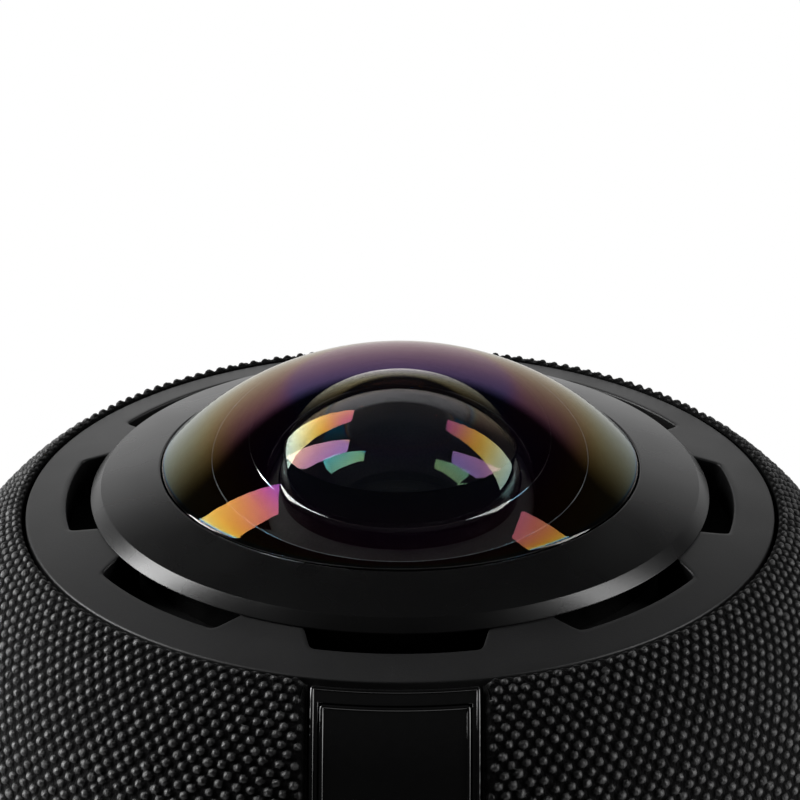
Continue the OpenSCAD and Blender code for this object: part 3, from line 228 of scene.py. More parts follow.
def rounded(corners, radii, steps=5):
    """A closed outline with each corner replaced by an arc: the arc's centre lies on the corner's
    bisector, and its points turn evenly from one side's normal to the other's."""
    p = np.asarray(corners, float)
    r = np.broadcast_to(np.asarray(radii, float), len(p))[:, None]
    back, ahead = np.roll(p, 1, axis=0) - p, np.roll(p, -1, axis=0) - p
    back, ahead = (v / np.linalg.norm(v, axis=1, keepdims=True) for v in (back, ahead))
    half = np.arccos(np.clip(np.sum(back * ahead, axis=1, keepdims=True), -1, 1)) / 2
    middle = back + ahead
    middle /= np.maximum(np.linalg.norm(middle, axis=1, keepdims=True), 1e-9)
    centre = p + middle * r / np.sin(half)
    first, last = (p + v * r / np.tan(half) - centre for v in (back, ahead))
    swing = np.maximum(np.pi - 2 * half, 1e-6)[:, None]
    t = np.linspace(0, 1, steps)[None, :, None]
    bow = np.sin((1 - t) * swing) * first[:, None] + np.sin(t * swing) * last[:, None]
    outline_points = (centre[:, None] + bow / np.sin(swing)).reshape(-1, 2)
    steps_back = outline_points - np.roll(outline_points, 1, axis=0)
    return outline_points[np.linalg.norm(steps_back, axis=1) > 1e-5]


def arc(centre, radius, start, end, steps):
    """Points centre + radius (sin a, cos a) for angles in degrees from start to end."""
    a = np.radians(np.linspace(start, end, steps))
    return np.column_stack([centre[0] + radius * np.sin(a), centre[1] + radius * np.cos(a)])


def reach_of(across, radius):
    """Angle in degrees from a sphere's axis to a distance across."""
    return math.degrees(math.asin(across / radius))


def facing_front(patch, z):
    """A patch spun about Z, turned so that its height runs along -Y, and set at a height z."""
    points, faces = patch
    return np.column_stack([points[:, 0], -points[:, 2], points[:, 1] + z]), faces


def add_piece(name, patch, slot, body=HOUSING, stands_for=None, sharp=40, marks=(), inks=()):
    """Makes an object of a patch in mm, in its slot's finish, and lets it ride on a body. Points
    that fall together are joined, which closes seams and poles, and a face that loses a corner by
    it becomes a triangle. Faces are turned so that the flow of (x, y, 0) through the surface is
    outwards, which holds for closed shells and for skins round the Z axis. Marks are values at
    the points. An ink is another finish and a test of a face's middle by radius and height."""
    points, faces = patch
    points, first, number_of = np.unique(
        np.round(points, 5), axis=0, return_index=True, return_inverse=True)
    faces = number_of.reshape(-1)[faces]
    a, b, c, d = (points[faces[:, k]] for k in range(4))
    flow = np.cross(c - a, d - b)[:, :2] * (a + b + c + d)[:, :2]
    if flow.sum() < 0:
        faces = faces[:, ::-1]
    keep = faces != np.roll(faces, -1, axis=1)
    whole = keep.sum(axis=1) > 2
    faces, keep = faces[whole], keep[whole]
    sizes = keep.sum(axis=1)
    corners, starts = faces[keep], np.cumsum(sizes) - sizes
    old = bpy.data.objects.get(name)
    if old:
        bpy.data.objects.remove(old)
    mesh = bpy.data.meshes.new(name)
    mesh.vertices.add(len(points))
    mesh.vertices.foreach_set("co", (points * MM).astype(np.float32).ravel())
    mesh.loops.add(len(corners))
    mesh.loops.foreach_set("vertex_index", corners.astype(np.int32))
    mesh.polygons.add(len(starts))
    mesh.polygons.foreach_set("loop_start", starts.astype(np.int32))
    mesh.update(calc_edges=True)
    for key, values in dict(marks).items():
        mark = mesh.attributes.new(key, "FLOAT", "POINT")
        mark.data.foreach_set("value", values.reshape(-1)[first].astype(np.float32))
    mesh.shade_smooth()
    if sharp is not None:
        mesh.set_sharp_from_angle(angle=math.radians(sharp))
    if mesh.validate():
        raise RuntimeError(f"{name} has faces that Blender had to mend")
    piece = bpy.data.objects.new(name, mesh)
    bpy.context.scene.collection.objects.link(piece)
    mesh.materials.append(finish_of(slot))
    middles = np.add.reduceat(points[corners], starts) / sizes[:, None]
    ink_of = np.zeros(len(middles), np.int32)
    for place, (ink, covers) in enumerate(inks, 1):
        mesh.materials.append(finish_of(ink))
        ink_of[covers(np.hypot(*middles.T[:2]), middles[:, 2])] = place
    mesh.polygons.foreach_set("material_index", ink_of)
    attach(piece, body)
    if stands_for:
        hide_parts(stands_for)
    return piece


# Finishes

FILM_REACH, FILM_FULL = 30.0, 700.0  # ends of a film's curve, in mm and nanometres
WEAR_GRAIN = 9.0  # broad wear of a gloss, in mm


class Nodes:
    """Adds nodes to a tree and links them."""

    def __init__(self, tree):
        self.nodes, self.links = tree.nodes, tree.links

    def set(self, node, inputs):
        """Sets or links a node's inputs."""
        for key, value in inputs.items():
            if isinstance(value, bpy.types.NodeSocket):
                self.links.new(value, node.inputs[key])
            else:
                node.inputs[key].default_value = value

    def add(self, kind, inputs=(), **settings):
        """Adds a node."""
        node = self.nodes.new("ShaderNode" + kind)
        for key, value in settings.items():
            setattr(node, key, value)
        self.set(node, dict(inputs))
        return node

    def sum(self, operation, a, b):
        """Arithmetic on two sockets or numbers."""
        return self.add("Math", {0: a, 1: b}, operation=operation).outputs[0]

    def mapped(self, value, low, high, to_low, to_high, smooth=False):
        """A value carried from one range to another, held at the ends."""
        return self.add("MapRange", {
            "Value": value, "From Min": low, "From Max": high, "To Min": to_low, "To Max": to_high},
            interpolation_type="SMOOTHSTEP" if smooth else "LINEAR").outputs[0]


class Finish(Nodes):
    """A procedural material: a Principled shader and its patterns, on Object coordinates."""

    def __init__(self, name, **sockets):
        self.name = name
        self.material = bpy.data.materials.new(name)
        self.material.use_nodes = True
        super().__init__(self.material.node_tree)
        self.shader = self.nodes["Principled BSDF"]
        self.place = self.add("TexCoord").outputs["Object"]
        self.set(self.shader, {key.replace("_", " "): value for key, value in sockets.items()})

    def noise(self, grain, detail=2.0, stretch=None):
        """Noise whose grains are about this many mm across."""
        place = self.place
        if stretch:
            place = self.add("Mapping", {"Vector": place, "Scale": stretch}).outputs[0]
        return self.add("TexNoise", {
            "Vector": place, "Scale": 1 / (grain * MM), "Detail": detail}).outputs["Fac"]

    def spread(self, value, low, high):
        """The middle of a noise or band pattern carried to a range."""
        return self.mapped(value, 0.3, 0.7, low, high)

    def shades(self, value, dark, light, low=0.3, high=0.7):
        """Colours from dark to light."""
        ramp = self.add("ValToRGB", {"Fac": value})
        for stop, place, shade in zip(ramp.color_ramp.elements, (low, high), (dark, light)):
            stop.position, stop.color = place, (*shade, 1.0)
        return ramp.outputs["Color"]

    def relief(self, height, depth):
        """Bump whose height of 1 is this many mm."""
        bump = self.add("Bump", {"Height": height, "Strength": 1.0, "Distance": depth * MM})
        self.set(self.shader, {"Normal": bump.outputs["Normal"]})


def grained(name, colours, grain, rough, depth, gloss=0.5, metallic=0.0, stretch=None, **sockets):
    """A moulded, cast or coated surface: fine noise tints it and roughens it, broad noise wears
    its gloss."""
    finish = Finish(name, Metallic=metallic, Specular_IOR_Level=gloss, **sockets)
    fine = finish.noise(grain, 3.0, stretch)
    finish.set(finish.shader, {
        "Base Color": finish.shades(fine, *colours),
        "Roughness": finish.spread(finish.noise(WEAR_GRAIN), *rough)})
    finish.relief(fine, depth)
    return finish


def banded(name, colours, pitch, axis, rough, depth, metallic=0.0):
    """A surface with even bands along one axis, such as a winding, a lathe-turned wall or printed
    conductors."""
    finish = Finish(name, Metallic=metallic)
    bands = finish.add("TexWave", {
        "Vector": finish.place, "Scale": 1 / (20 * pitch * MM) * 2 * np.pi, "Distortion": 0.4,
        "Detail": 1.0, "Detail Scale": 2.0}, wave_type="BANDS", bands_direction=axis).outputs["Fac"]
    finish.set(finish.shader, {
        "Base Color": finish.shades(bands, *colours, 0.2, 0.8),
        "Roughness": finish.spread(finish.noise(4.0), *rough)})
    finish.relief(bands, depth)
    return finish


def grey(*levels):
    """Grey colours of these levels, a little cool."""
    return [(level, level, level * 1.03) for level in levels]


def coated_glass(name, coats, film_ior=1.30, ior=1.52, tint=(1.0, 1.0, 1.0)):
    """Clear glass under a thin film whose thickness follows the distance from the lens's axis, so
    the colour of a reflection changes across the glass. Coats are (distance in mm, thickness in
    nanometres). Faint dust roughens the glass."""
    finish = Finish(name, Transmission_Weight=1.0, IOR=ior, Base_Color=(*tint, 1.0))
    level = finish.add("VectorMath", {0: finish.place, 1: (1.0, 1.0, 0.0)}, operation="MULTIPLY")
    radius = finish.add("VectorMath", {0: level.outputs[0]}, operation="LENGTH").outputs["Value"]
    share = finish.mapped(radius, 0.0, FILM_REACH * MM, 0.0, 1.0)
    ramp = finish.add("FloatCurve", {"Value": share})
    points = ramp.mapping.curves[0].points
    spots = [(place / FILM_REACH, film / FILM_FULL) for place, film in coats]
    for spot in spots[1:-1]:
        points.new(*spot)
    points[0].location, points[-1].location = spots[0], spots[-1]
    for point in points:
        point.handle_type = "AUTO_CLAMPED"
    ramp.mapping.update()
    finish.set(finish.shader, {
        "Thin Film Thickness": finish.sum("MULTIPLY", ramp.outputs[0], FILM_FULL),
        "Thin Film IOR": film_ior,
        "Roughness": finish.mapped(finish.noise(0.5, 4.0), 0.55, 0.8, 0.0, 0.002)})
    return finish.material


def knit_finish(dark, light):
    """Yarn: each knot has its own tone, the ground between knots is dull and painted dark, a
    painted shade in the gaps, strands run along the yarn, and a light sheen stands for loose
    fibres."""
    finish = Finish("knit", Sheen_Weight=0.08, Sheen_Roughness=0.4)
    tone, rise = (finish.add("Attribute", attribute_name=mark).outputs["Fac"]
                  for mark in ("knot_tone", "knot_rise"))
    strands = finish.noise(0.24, 4.0, (1.0, 1.0, 0.5))
    # The colour falls to a twentieth where the knit sinks to its ground: painted shade between the
    # knots.
    shade = finish.sum("MULTIPLY", tone, finish.mapped(rise, 0.1, 0.9, 0.05, 1.0))
    shade = finish.sum("MULTIPLY", shade, finish.spread(strands, 0.6, 1.15))
    finish.set(finish.shader, {
        "Base Color": finish.shades(shade, dark, light, 0.0, 1.0),
        "Specular IOR Level": finish.mapped(rise, 0.2, 0.88, 0.08, 1.0),
        "Roughness": finish.sum("MAXIMUM", finish.spread(strands, 0.34, 0.5),
                                finish.mapped(rise, 0.2, 0.7, 0.75, 0.3))})
    finish.relief(strands, 0.16)
    return finish.material


def board_finish():
    """Circuit board: solder mask over traces, with tinned pads."""
    finish = Finish("board", Specular_IOR_Level=0.5)
    traces = finish.add("TexBrick", {
        "Vector": finish.place, "Color1": (0.012, 0.075, 0.035, 1.0),
        "Color2": (0.016, 0.095, 0.045, 1.0), "Mortar": (0.03, 0.15, 0.07, 1.0),
        "Scale": 250.0, "Mortar Size": 0.03})
    dots = finish.add("TexVoronoi", {"Vector": finish.place, "Scale": 320.0}).outputs["Distance"]
    pad = finish.mapped(dots, 0.16, 0.2, 1.0, 0.0)
    mix = finish.add("Mix", data_type="RGBA")
    finish.set(mix, {0: pad, 6: traces.outputs["Color"], 7: (0.55, 0.53, 0.5, 1.0)})
    finish.set(finish.shader, {
        "Base Color": mix.outputs[2], "Metallic": pad,
        "Roughness": finish.spread(finish.noise(2.0), 0.3, 0.5)})
    finish.relief(traces.outputs["Fac"], 0.03)
    return finish


def finishes(scene):
    """Every finish by the record's slot, and four more for parts of the lens."""
    lens, shade = scene.camera_lens, scene.camera_colours
    middle, side, rim = lens.film_middle, lens.film_side, lens.film_rim

    def near(base, *shares):
        return [tuple(share * c for c in base) for share in shares]

    glass = {
        "lens_glass": coated_glass("coated_dome", (
            (0.0, middle), (10.0, middle), (12.4, 0.4 * middle + 0.6 * side), (17.0, side),
            (20.6, 0.4 * side + 0.6 * rim), (23.45, rim), (23.7, 0.0))),
        "hollow_glass": coated_glass("coated_hollow", (
            (0.0, 502.0), (8.0, 502.0), (9.0, 486.0), (10.0, 462.0), (11.0, 438.0), (12.0, 407.0))),
        "inner_glass": coated_glass("coated_inner", (
            (0.0, 0.0), (6.5, 0.0), (8.5, 326.0), (11.5, 326.0), (13.0, 320.0)), 1.38),
        "inner_back_glass": coated_glass("coated_inner_back", (
            (0.0, 0.0), (4.5, 0.0), (5.5, 378.0), (9.0, 378.0)), 1.26, 1.12),
        "filter_glass": coated_glass("infrared_glass", (
            (0.0, 240.0), (3.0, 240.0), (6.0, 240.0)), tint=(0.55, 0.9, 0.95)),
    }
    plain = [
        grained("ground_glass", ((0.05, 0.06, 0.07), (0.10, 0.12, 0.14)), 0.2, (0.5, 0.6), 0.01),
        grained("lens_ink", grey(0.0004, 0.001), 0.3, (0.9, 1.0), 0.0, 0.0),
        grained("satin_black", near(shade.bezel, 0.8, 1.3), 0.12, (0.24, 0.31), 0.003, 0.6),
        grained("textured_black", near(shade.ring, 0.75, 1.3), 0.14, (0.42, 0.5), 0.012, 0.65),
        grained("gloss_black", near(shade.gloss, 0.8, 1.2), 0.8, (0.03, 0.07), 0.0002, 0.9),
        grained("matte_black", grey(0.008, 0.014), 0.2, (0.6, 0.75), 0.02, 0.3),
        grained("rubber", grey(0.012, 0.022), 0.1, (0.65, 0.8), 0.015, 0.35),
        grained("chip", grey(0.015, 0.03), 0.08, (0.35, 0.55), 0.006),
        grained("tin", grey(0.5, 0.62), 0.3, (0.25, 0.38), 0.003, metallic=1.0),
        grained("steel", grey(0.22, 0.3), 0.25, (0.3, 0.42), 0.004, metallic=1.0),
        grained("magnet", grey(0.035, 0.06), 0.18, (0.5, 0.65), 0.02),
        grained("basket", grey(0.02, 0.035), 0.2, (0.4, 0.55), 0.012),
        grained("paper", grey(0.02, 0.05), 0.25, (0.75, 0.9), 0.04, stretch=(1.0, 1.0, 0.3)),
        grained("spider_cloth", ((0.20, 0.12, 0.05), (0.34, 0.22, 0.10)), 0.3, (0.8, 0.9), 0.05),
        grained("wire", ((0.35, 0.015, 0.012), (0.45, 0.025, 0.02)), 0.3, (0.35, 0.5), 0.005),
        grained("plate_metal", grey(0.03, 0.06), 0.15, (0.42, 0.58), 0.01, metallic=0.6),
        grained("light", grey(0.62, 0.72), 0.4, (0.3, 0.42), 0.003, Subsurface_Weight=0.3),
        grained("mute_red", near(shade.mute, 0.8, 1.15), 0.15, (0.32, 0.44), 0.008),
        grained("key_black", grey(0.014, 0.024), 0.13, (0.36, 0.48), 0.01),
        # The sensor's purple and teal bands are painted iridescence, a painted reflection, over its
        # dark die.
        banded("sensor", ((0.05, 0.02, 0.08), (0.03, 0.08, 0.1)), 0.25, "X", (0.12, 0.2), 0.001),
        banded("copper", ((0.3, 0.1, 0.04), (0.62, 0.26, 0.12)), 0.2, "Z", (0.2, 0.32), 0.03, 1.0),
        banded("ribbon", ((0.16, 0.07, 0.012), (0.36, 0.17, 0.04)), 0.5, "X", (0.25, 0.4), 0.004),
        banded("aluminium", grey(0.42, 0.58), 0.12, "Z", (0.3, 0.42), 0.002, 1.0),
        banded("brass", ((0.5, 0.34, 0.12), (0.66, 0.48, 0.2)), 0.1, "Z", (0.2, 0.32), 0.002, 1.0),
        board_finish(),
    ]
    return {**glass, **{finish.name: finish.material for finish in plain},
            "fabric": knit_finish(shade.yarn_dark, shade.yarn_light)}


FINISHES = {}


def finish_of(slot):
    """The finish of a slot, made once."""
    if not FINISHES:
        FINISHES.update(finishes(bpy.context.scene))
    return FINISHES[slot]


# Lens, in mm

GLASS_SEAT = 0.05  # clearance under the front element
GROUND_EDGE = 2.6  # height of its ground edge
SECOND_HOLLOW = 5.8  # depth of the hollow in the second element
THIRD_FRONT, THIRD_BACK = 18.0, 36.0  # radii of the third element
RETAINER_NEAR, RETAINER_FAR, RETAINER_RISE = 0.1, 1.2, 2.3  # from the second element's edge
SEAL_MARGIN = 3.0  # from the hollow to the bore of the seal


def hollow_height(settings):
    """Height of the centre of the sphere that hollows the front element."""
    return DOME_HIGH[2] - settings.glass_centre / MM - settings.hollow_radius / MM


def dome_profile(settings):
    """Half section of the front element: the outer sphere from the axis to the rim, a small
    round, the edge, the flat back, a small round, and the hollow sphere back to the axis."""
    r, rim, top = settings.dome_radius / MM, DOME_HIGH[0], DOME_HIGH[2]
    edge, back = settings.rim_round / MM, DOME_LOW[2] + GLASS_SEAT
    hollow, hollow_z = settings.hollow_radius / MM, hollow_height(settings)
    reach = reach_of(rim - edge, r - edge)
    outer = arc((0.0, top - r), r, 0.0, reach, 90)
    round_centre = (rim - edge, top - r + (r - edge) * math.cos(math.radians(reach)))
    lip = arc(round_centre, edge, reach, 90.0, 8)[1:]
    low = math.degrees(math.acos((back + 0.1 - hollow_z) / hollow))
    inner = arc((0.0, hollow_z), hollow, low, 0.0, 60)
    turned = [inner[1], (inner[0][0] + 0.02, back), (rim - 2.0, back)]
    foot = rounded(turned, (0.0, 0.08, 0.0))[1:-1]
    corner = [(rim, back + 0.3), (rim - 0.3, back)]
    return np.concatenate([outer, lip, corner, foot[::-1], inner[1:]])


def second_profile(settings):
    """Half section of the second element: a domed front, a straight edge, a flat seat and a
    hollow back."""
    radius, low, top = SECOND_HIGH[0], SECOND_LOW[2], SECOND_HIGH[2]
    front, back = settings.second_front / MM, settings.second_back / MM
    outer = arc((0.0, top - front), front, 0.0, reach_of(radius - 0.15, front), 60)
    edge = [(radius, outer[-1][1] - 0.2), (radius, low + 0.1), (radius - 0.1, low)]
    centre = low + SECOND_HOLLOW - back
    reach = math.degrees(math.acos((low - centre) / back))
    return np.concatenate([outer, edge, arc((0.0, centre), back, reach, 0.0, 50)])


def third_profile():
    """Half section of the third element: two spheres that meet at its edge."""
    r, low, high = THIRD_HIGH[0], THIRD_LOW[2], THIRD_HIGH[2]
    front = arc((0.0, high - THIRD_FRONT), THIRD_FRONT, 0.0, reach_of(r, THIRD_FRONT), 40)
    back = arc((0.0, low + THIRD_BACK), THIRD_BACK, 180.0 - reach_of(r, THIRD_BACK), 180.0, 30)
    back[-1, 0] = 0.0
    return np.concatenate([front, back])


class CONFERENCE_OT_lens(bpy.types.Operator):
    """Front element, inner elements, their retainer and the seal under the glass"""

    bl_idname = "conference.lens"
    bl_label = "Lens"

    def execute(self, context):
        settings = context.scene.camera_lens
        hollow, hollow_z = settings.hollow_radius / MM, hollow_height(settings)
        back, rim, edge, seat = DOME_LOW[2], DOME_HIGH[0], SECOND_HIGH[0], SECOND_LOW[2]

        def off_hollow(r, z):
            return np.hypot(r, z - hollow_z) - hollow

        dome_inks = (
            ("hollow_glass", lambda r, z: off_hollow(r, z) < 0.02),
            ("ground_glass", lambda r, z: (off_hollow(r, z) > 0.02) & (z < back + GROUND_EDGE)),
            ("lens_ink", lambda r, z: (off_hollow(r, z) > 0.3)
             & ((z < back + 0.5) | (r > rim - 0.01))))
        second_inks = (
            ("lens_ink", lambda r, z: (r > edge - 0.08) | (z < seat + 0.05)),
            ("inner_back_glass", lambda r, z: (z < seat + SECOND_HOLLOW) & (r < edge - 1.3)))
        add_piece("lens_dome", spin(dome_profile(settings), 256, False), "lens_glass",
                  stands_for="lens_front_element", sharp=50, inks=dome_inks)
        add_piece("lens_second", spin(second_profile(settings), 200, False), "inner_glass",
                  stands_for="lens_second_element", inks=second_inks)
        add_piece("lens_third", spin(third_profile(), 128, False), "inner_glass",
                  stands_for="lens_third_element")
        near, far, top = edge + RETAINER_NEAR, edge + RETAINER_FAR, BARREL_TOP + RETAINER_RISE
        retainer = rounded([(near, BARREL_TOP), (far, BARREL_TOP), (far, top), (near, top)],
                           (0.0, 0.0, 0.6, 0.1), 8)
        add_piece("lens_retainer", spin(retainer, 200), "gloss_black")
        low, high, out = SEAL_LOW[2], SEAL_HIGH[2], SEAL_HIGH[0]
        bore = hollow + SEAL_MARGIN
        seal = rounded([(out, low), (out, high), (bore, high), (bore, low)], (0.0, 0.1, 0.2, 0.0))
        add_piece("lens_seal_ring", spin(seal, 200), "rubber", stands_for="lens_seal")
        return {"FINISHED"}


# Trim at the top, in mm

BEZEL_GAP, BEZEL_LIFT = 0.03, 0.05  # clear of the dome and of the ring
BEZEL_SKIRT = 27.2  # outer radius of the wall below the bezel's face
BEZEL_ROUNDS = (0.25, 0.12, 0.12, 0.0, 0.0, 0.0)  # at the corners of its section
RING_BORE = 28.2  # inner radius between slots
SLOT_CORNER, SLOT_EDGE = 0.35, 0.22  # rounds of a slot, from above and in section


class CONFERENCE_OT_bezel(bpy.types.Operator):
    """Sloping bezel round the dome, with a rounded lip at its bore and a bright chamfer"""

    bl_idname = "conference.bezel"
    bl_label = "Bezel"

    def execute(self, context):
        settings = context.scene.camera_trim
        out, low, land = BEZEL_HIGH[0], BEZEL_LOW[2], RING_HIGH[2]
        bore, under = DOME_HIGH[0] + BEZEL_GAP, land + BEZEL_LIFT
        shoulder_r = out - settings.bezel_chamfer / MM
        shoulder_z = land + settings.bezel_chamfer_drop / MM
        top = shoulder_z + (shoulder_r - bore) * math.tan(settings.bezel_slope)
        corners = [(bore, top), (shoulder_r, shoulder_z), (out, under), (BEZEL_SKIRT, under),
                   (BEZEL_SKIRT, low), (bore, low)]
        add_piece("bezel", spin(rounded(corners, BEZEL_ROUNDS, 8), 256), "satin_black",
                  stands_for="lens_bezel", sharp=35)
        return {"FINISHED"}


def slot_outline(settings, per_slot):
    """Inner edge of the ring, seen from above: radius over angle. Inside a slot it is the slot's
    outer radius, at a slot's ends it falls along a leaning line, and the two meet in a soft
    minimum that rounds the corner."""
    slots, reach = settings.slot_count, settings.slot_radius / MM
    half, flare = settings.slot_half_angle, settings.slot_flare
    pitch = 2 * np.pi / slots
    t = np.linspace(-1, 1, per_slot, endpoint=False)
    corner = half / (pitch / 2)
    closer = np.interp(np.abs(t), [0, 0.35, 0.8, 1], [0, corner - 0.09, corner + 0.14, 1])
    angle = np.sign(t) * closer * pitch / 2
    line = reach * np.sin(flare) / np.sin(np.abs(angle) - half + flare)
    low = np.minimum(reach, line)
    radius = low - SLOT_CORNER * np.log(
        np.exp(-(reach - low) / SLOT_CORNER) + np.exp(-(line - low) / SLOT_CORNER))
    turns = np.arange(slots)[:, None] * pitch - np.pi / 2
    return (angle + turns).reshape(-1), np.tile(np.maximum(radius, RING_BORE), slots)


def ring_patch(settings):
    """Top ring: a section carried round the slots' outline. It goes up the inner wall, over a
    quarter round, straight across the sloping face, over the outer round and down."""
    angle, radius = slot_outline(settings, 96)
    plan = polar(radius, angle, 0.0)[:, :2]
    ahead = np.roll(plan, -1, axis=0) - np.roll(plan, 1, axis=0)
    into = np.column_stack([ahead[:, 1], -ahead[:, 0]])
    into /= np.linalg.norm(into, axis=1, keepdims=True)
    out, low, edge = RING_HIGH[0], RING_LOW[2], settings.ring_edge / MM
    slope = math.tan(settings.ring_slope)

    def face_z(flat):
        return RING_HIGH[2] - (np.linalg.norm(flat, axis=1) - BEZEL_HIGH[0]) * slope

    def row(flat, z):
        return np.column_stack([flat, np.broadcast_to(z, len(flat))])

    inner = plan + into * SLOT_EDGE
    rim = polar(out - edge, angle, 0.0)[:, :2]
    rim_z = face_z(rim)[0]
    rows = [row(plan, low)]
    for a in np.linspace(0, np.pi / 2, 5):
        rows.append(row(plan + into * SLOT_EDGE * (1 - np.cos(a)),
                        face_z(inner) - SLOT_EDGE * (1 - np.sin(a))))
    for share in np.linspace(0, 1, 9)[1:]:
        flat = inner + (rim - inner) * share
        rows.append(row(flat, face_z(flat)))
    for a in np.linspace(settings.ring_slope, np.pi / 2, 5)[1:]:
        rows.append(polar(out - edge + edge * np.sin(a), angle, rim_z - edge * (1 - np.cos(a))))
    rows.append(polar(out, angle, low))
    return grid_patch(np.stack(rows), True, True)


class CONFERENCE_OT_ring(bpy.types.Operator):
    """Textured top ring with its sound slots"""

    bl_idname = "conference.ring"
    bl_label = "Top ring"

    def execute(self, context):
        add_piece("ring", ring_patch(context.scene.camera_trim), "textured_black",
                  stands_for="top_ring")
        return {"FINISHED"}


# Outline of the body, in mm

EASE_Z, EASE_R, EASE_ANGLE = 189.123, 39.193, math.radians(60.0)
SHOULDER_R = 21.003
START_R = 38.7  # where the shoulder starts, beside the ring
HEM_R = 0.8
GROUND = 0.46  # inset of the knit's ground
FOOT_R = 47.0  # at the cover's lower edge
BODY_R = COVER_HIGH[0]
SIDE_R = ((EASE_Z - COVER_LOW[2]) ** 2 + (BODY_R - FOOT_R) ** 2) / (2 * (BODY_R - FOOT_R))


def towards(angle):
    """Unit vector (sin a, cos a)."""
    return np.array([math.sin(angle), math.cos(angle)])


EASE_C = np.array([BODY_R - EASE_R, EASE_Z])
SHOULDER_C = EASE_C + (EASE_R - SHOULDER_R) * towards(EASE_ANGLE)
START_ANGLE = math.asin((START_R - SHOULDER_C[0]) / SHOULDER_R)
HEM_C = SHOULDER_C + (SHOULDER_R - HEM_R) * towards(START_ANGLE)
SIDE_C = np.array([BODY_R - SIDE_R, EASE_Z])
SHOULDER_END = SHOULDER_R * (EASE_ANGLE - START_ANGLE)
EASE_END = SHOULDER_END + EASE_R * (math.pi / 2 - EASE_ANGLE)


def outline(run, inset):
    """Radius and height of the body's outline at a length along it from the top hem, moved
    inwards by an inset. Four arcs follow each other with common normals: hem, shoulder, ease and
    side. A point lies at the arc's centre plus (radius - inset)(sin a, cos a), where a grows with
    the length over the radius."""
    run, inset = np.broadcast_arrays(np.asarray(run, float), np.asarray(inset, float))
    part = np.searchsorted([0.0, SHOULDER_END, EASE_END], run, side="right")
    radius = np.array([HEM_R, SHOULDER_R, EASE_R, SIDE_R])[part]
    start = np.array([0.0, 0.0, SHOULDER_END, EASE_END])[part]
    first = np.array([START_ANGLE, START_ANGLE, EASE_ANGLE, math.pi / 2])[part]
    centre = np.array([HEM_C, SHOULDER_C, EASE_C, SIDE_C])[part]
    angle = first + (run - start) / radius
    return (centre[..., 0] + (radius - inset) * np.sin(angle),
            centre[..., 1] + (radius - inset) * np.cos(angle))


def run_at(z):
    """Length along the outline at a height on the body's side."""
    return EASE_END + SIDE_R * np.arcsin((EASE_Z - z) / SIDE_R)


def run_on_shoulder(radius, inset):
    """Length along the outline where the shoulder, moved inwards by an inset, has a radius."""
    return SHOULDER_R * (math.asin((radius - SHOULDER_C[0]) / (SHOULDER_R - inset)) - START_ANGLE)


def on_body(flat, inset):
    """Points on the front of the body at (side step x, length along the outline) and an inset:
    the outline turned about Z, so y = -sqrt(radius^2 - x^2)."""
    x, run, inset = np.broadcast_arrays(flat[..., 0], flat[..., 1], np.asarray(inset, float))
    radius, z = outline(run, inset)
    return np.stack([x, -np.sqrt(radius**2 - x**2), z], axis=-1)


# Knit cover, in mm

CUT_HALF = 8.3  # half the width of the strip's opening
CUT_LOW_RUN = run_at(FRAME_LOW[2] - 0.4)  # its lower end
COVER_END = run_at(COVER_LOW[2])
TOP_ROWS, SHOULDER_ROWS = 20.5, 40.5  # rows of knots down to the ends of the first two bands
KNOT_SEED, KNOT_SHIFT, KNOT_LEAN, KNOT_SPREAD = 360, 0.045, 0.22, 0.05
# The ground between knots has a tone below the knots' middle: painted shade in the gaps.
TONE_MIDDLE, TONE_SPREAD, GAP_TONE_WITH_PAINTED_SHADE = 0.55, 0.2, 0.3
ROWS_ABOVE, ROWS_SPARE = 5, 12  # rows of the lattice above the hem, and in all past the cover
TOP_FADE = 1.6  # length over which knots rise at the top hem
HEM_TURN = math.radians(75)  # how far the top hem rolls over
BESIDE_STRIP = math.radians(16.0)  # where even columns end
SIDE_TUCK, LOW_TUCK = (0.4, 0.8, 1.3), 1.2  # how far the opening's edges go in


def knots(round_at, run, settings):
    """Height and shade of the knit at angles (in columns) and lengths along the body. Knots sit
    on a lattice of rows half a column apart; each is half an ellipsoid with its own seeded shift,
    turn, size and shade, and the highest of the four nearest knots counts."""
    columns, pitch = settings.columns, settings.row_pitch / MM
    rows = int(COVER_END / pitch) + ROWS_SPARE
    dice = np.random.default_rng(KNOT_SEED)
    shift = dice.normal(0, KNOT_SHIFT, (2, rows, columns))
    lean = dice.normal(0, KNOT_LEAN, (rows, columns))
    size = 1 + dice.normal(0, KNOT_SPREAD, (rows, columns))
    tone = np.clip(dice.normal(TONE_MIDDLE, TONE_SPREAD, (rows, columns)), 0.1, 1.0)
    width = outline(run, 0.0)[0] * 2 * np.pi / columns
    q = run / pitch + ROWS_ABOVE
    # Where no knot reaches, the ground's lower tone stays: painted shade between knots.
    height, shade = np.zeros(np.shape(q)), np.full(np.shape(q), GAP_TONE_WITH_PAINTED_SHADE)
    for down in (0, 1):
        row = np.clip(np.floor(q).astype(int) + down, 0, rows - 1)
        stagger = 0.5 * (row % 2)
        for across in (0, 1):
            column = np.floor(round_at - stagger).astype(int) + across
            cell = row, column % columns
            u = (round_at - stagger - column - shift[0][cell]) * width
            v = (q - row - shift[1][cell]) * pitch
            turned, upright = u + lean[cell] * v, v - lean[cell] * u
            far = ((turned / (settings.knot_width * width)) ** 2
                   + (upright * MM / settings.knot_length) ** 2)
            rise = size[cell] * np.sqrt(np.clip(1 - far / size[cell] ** 2, 0, None))
            shade = np.where(rise > height, tone[cell], shade)
            height = np.maximum(height, rise)
    return height, shade


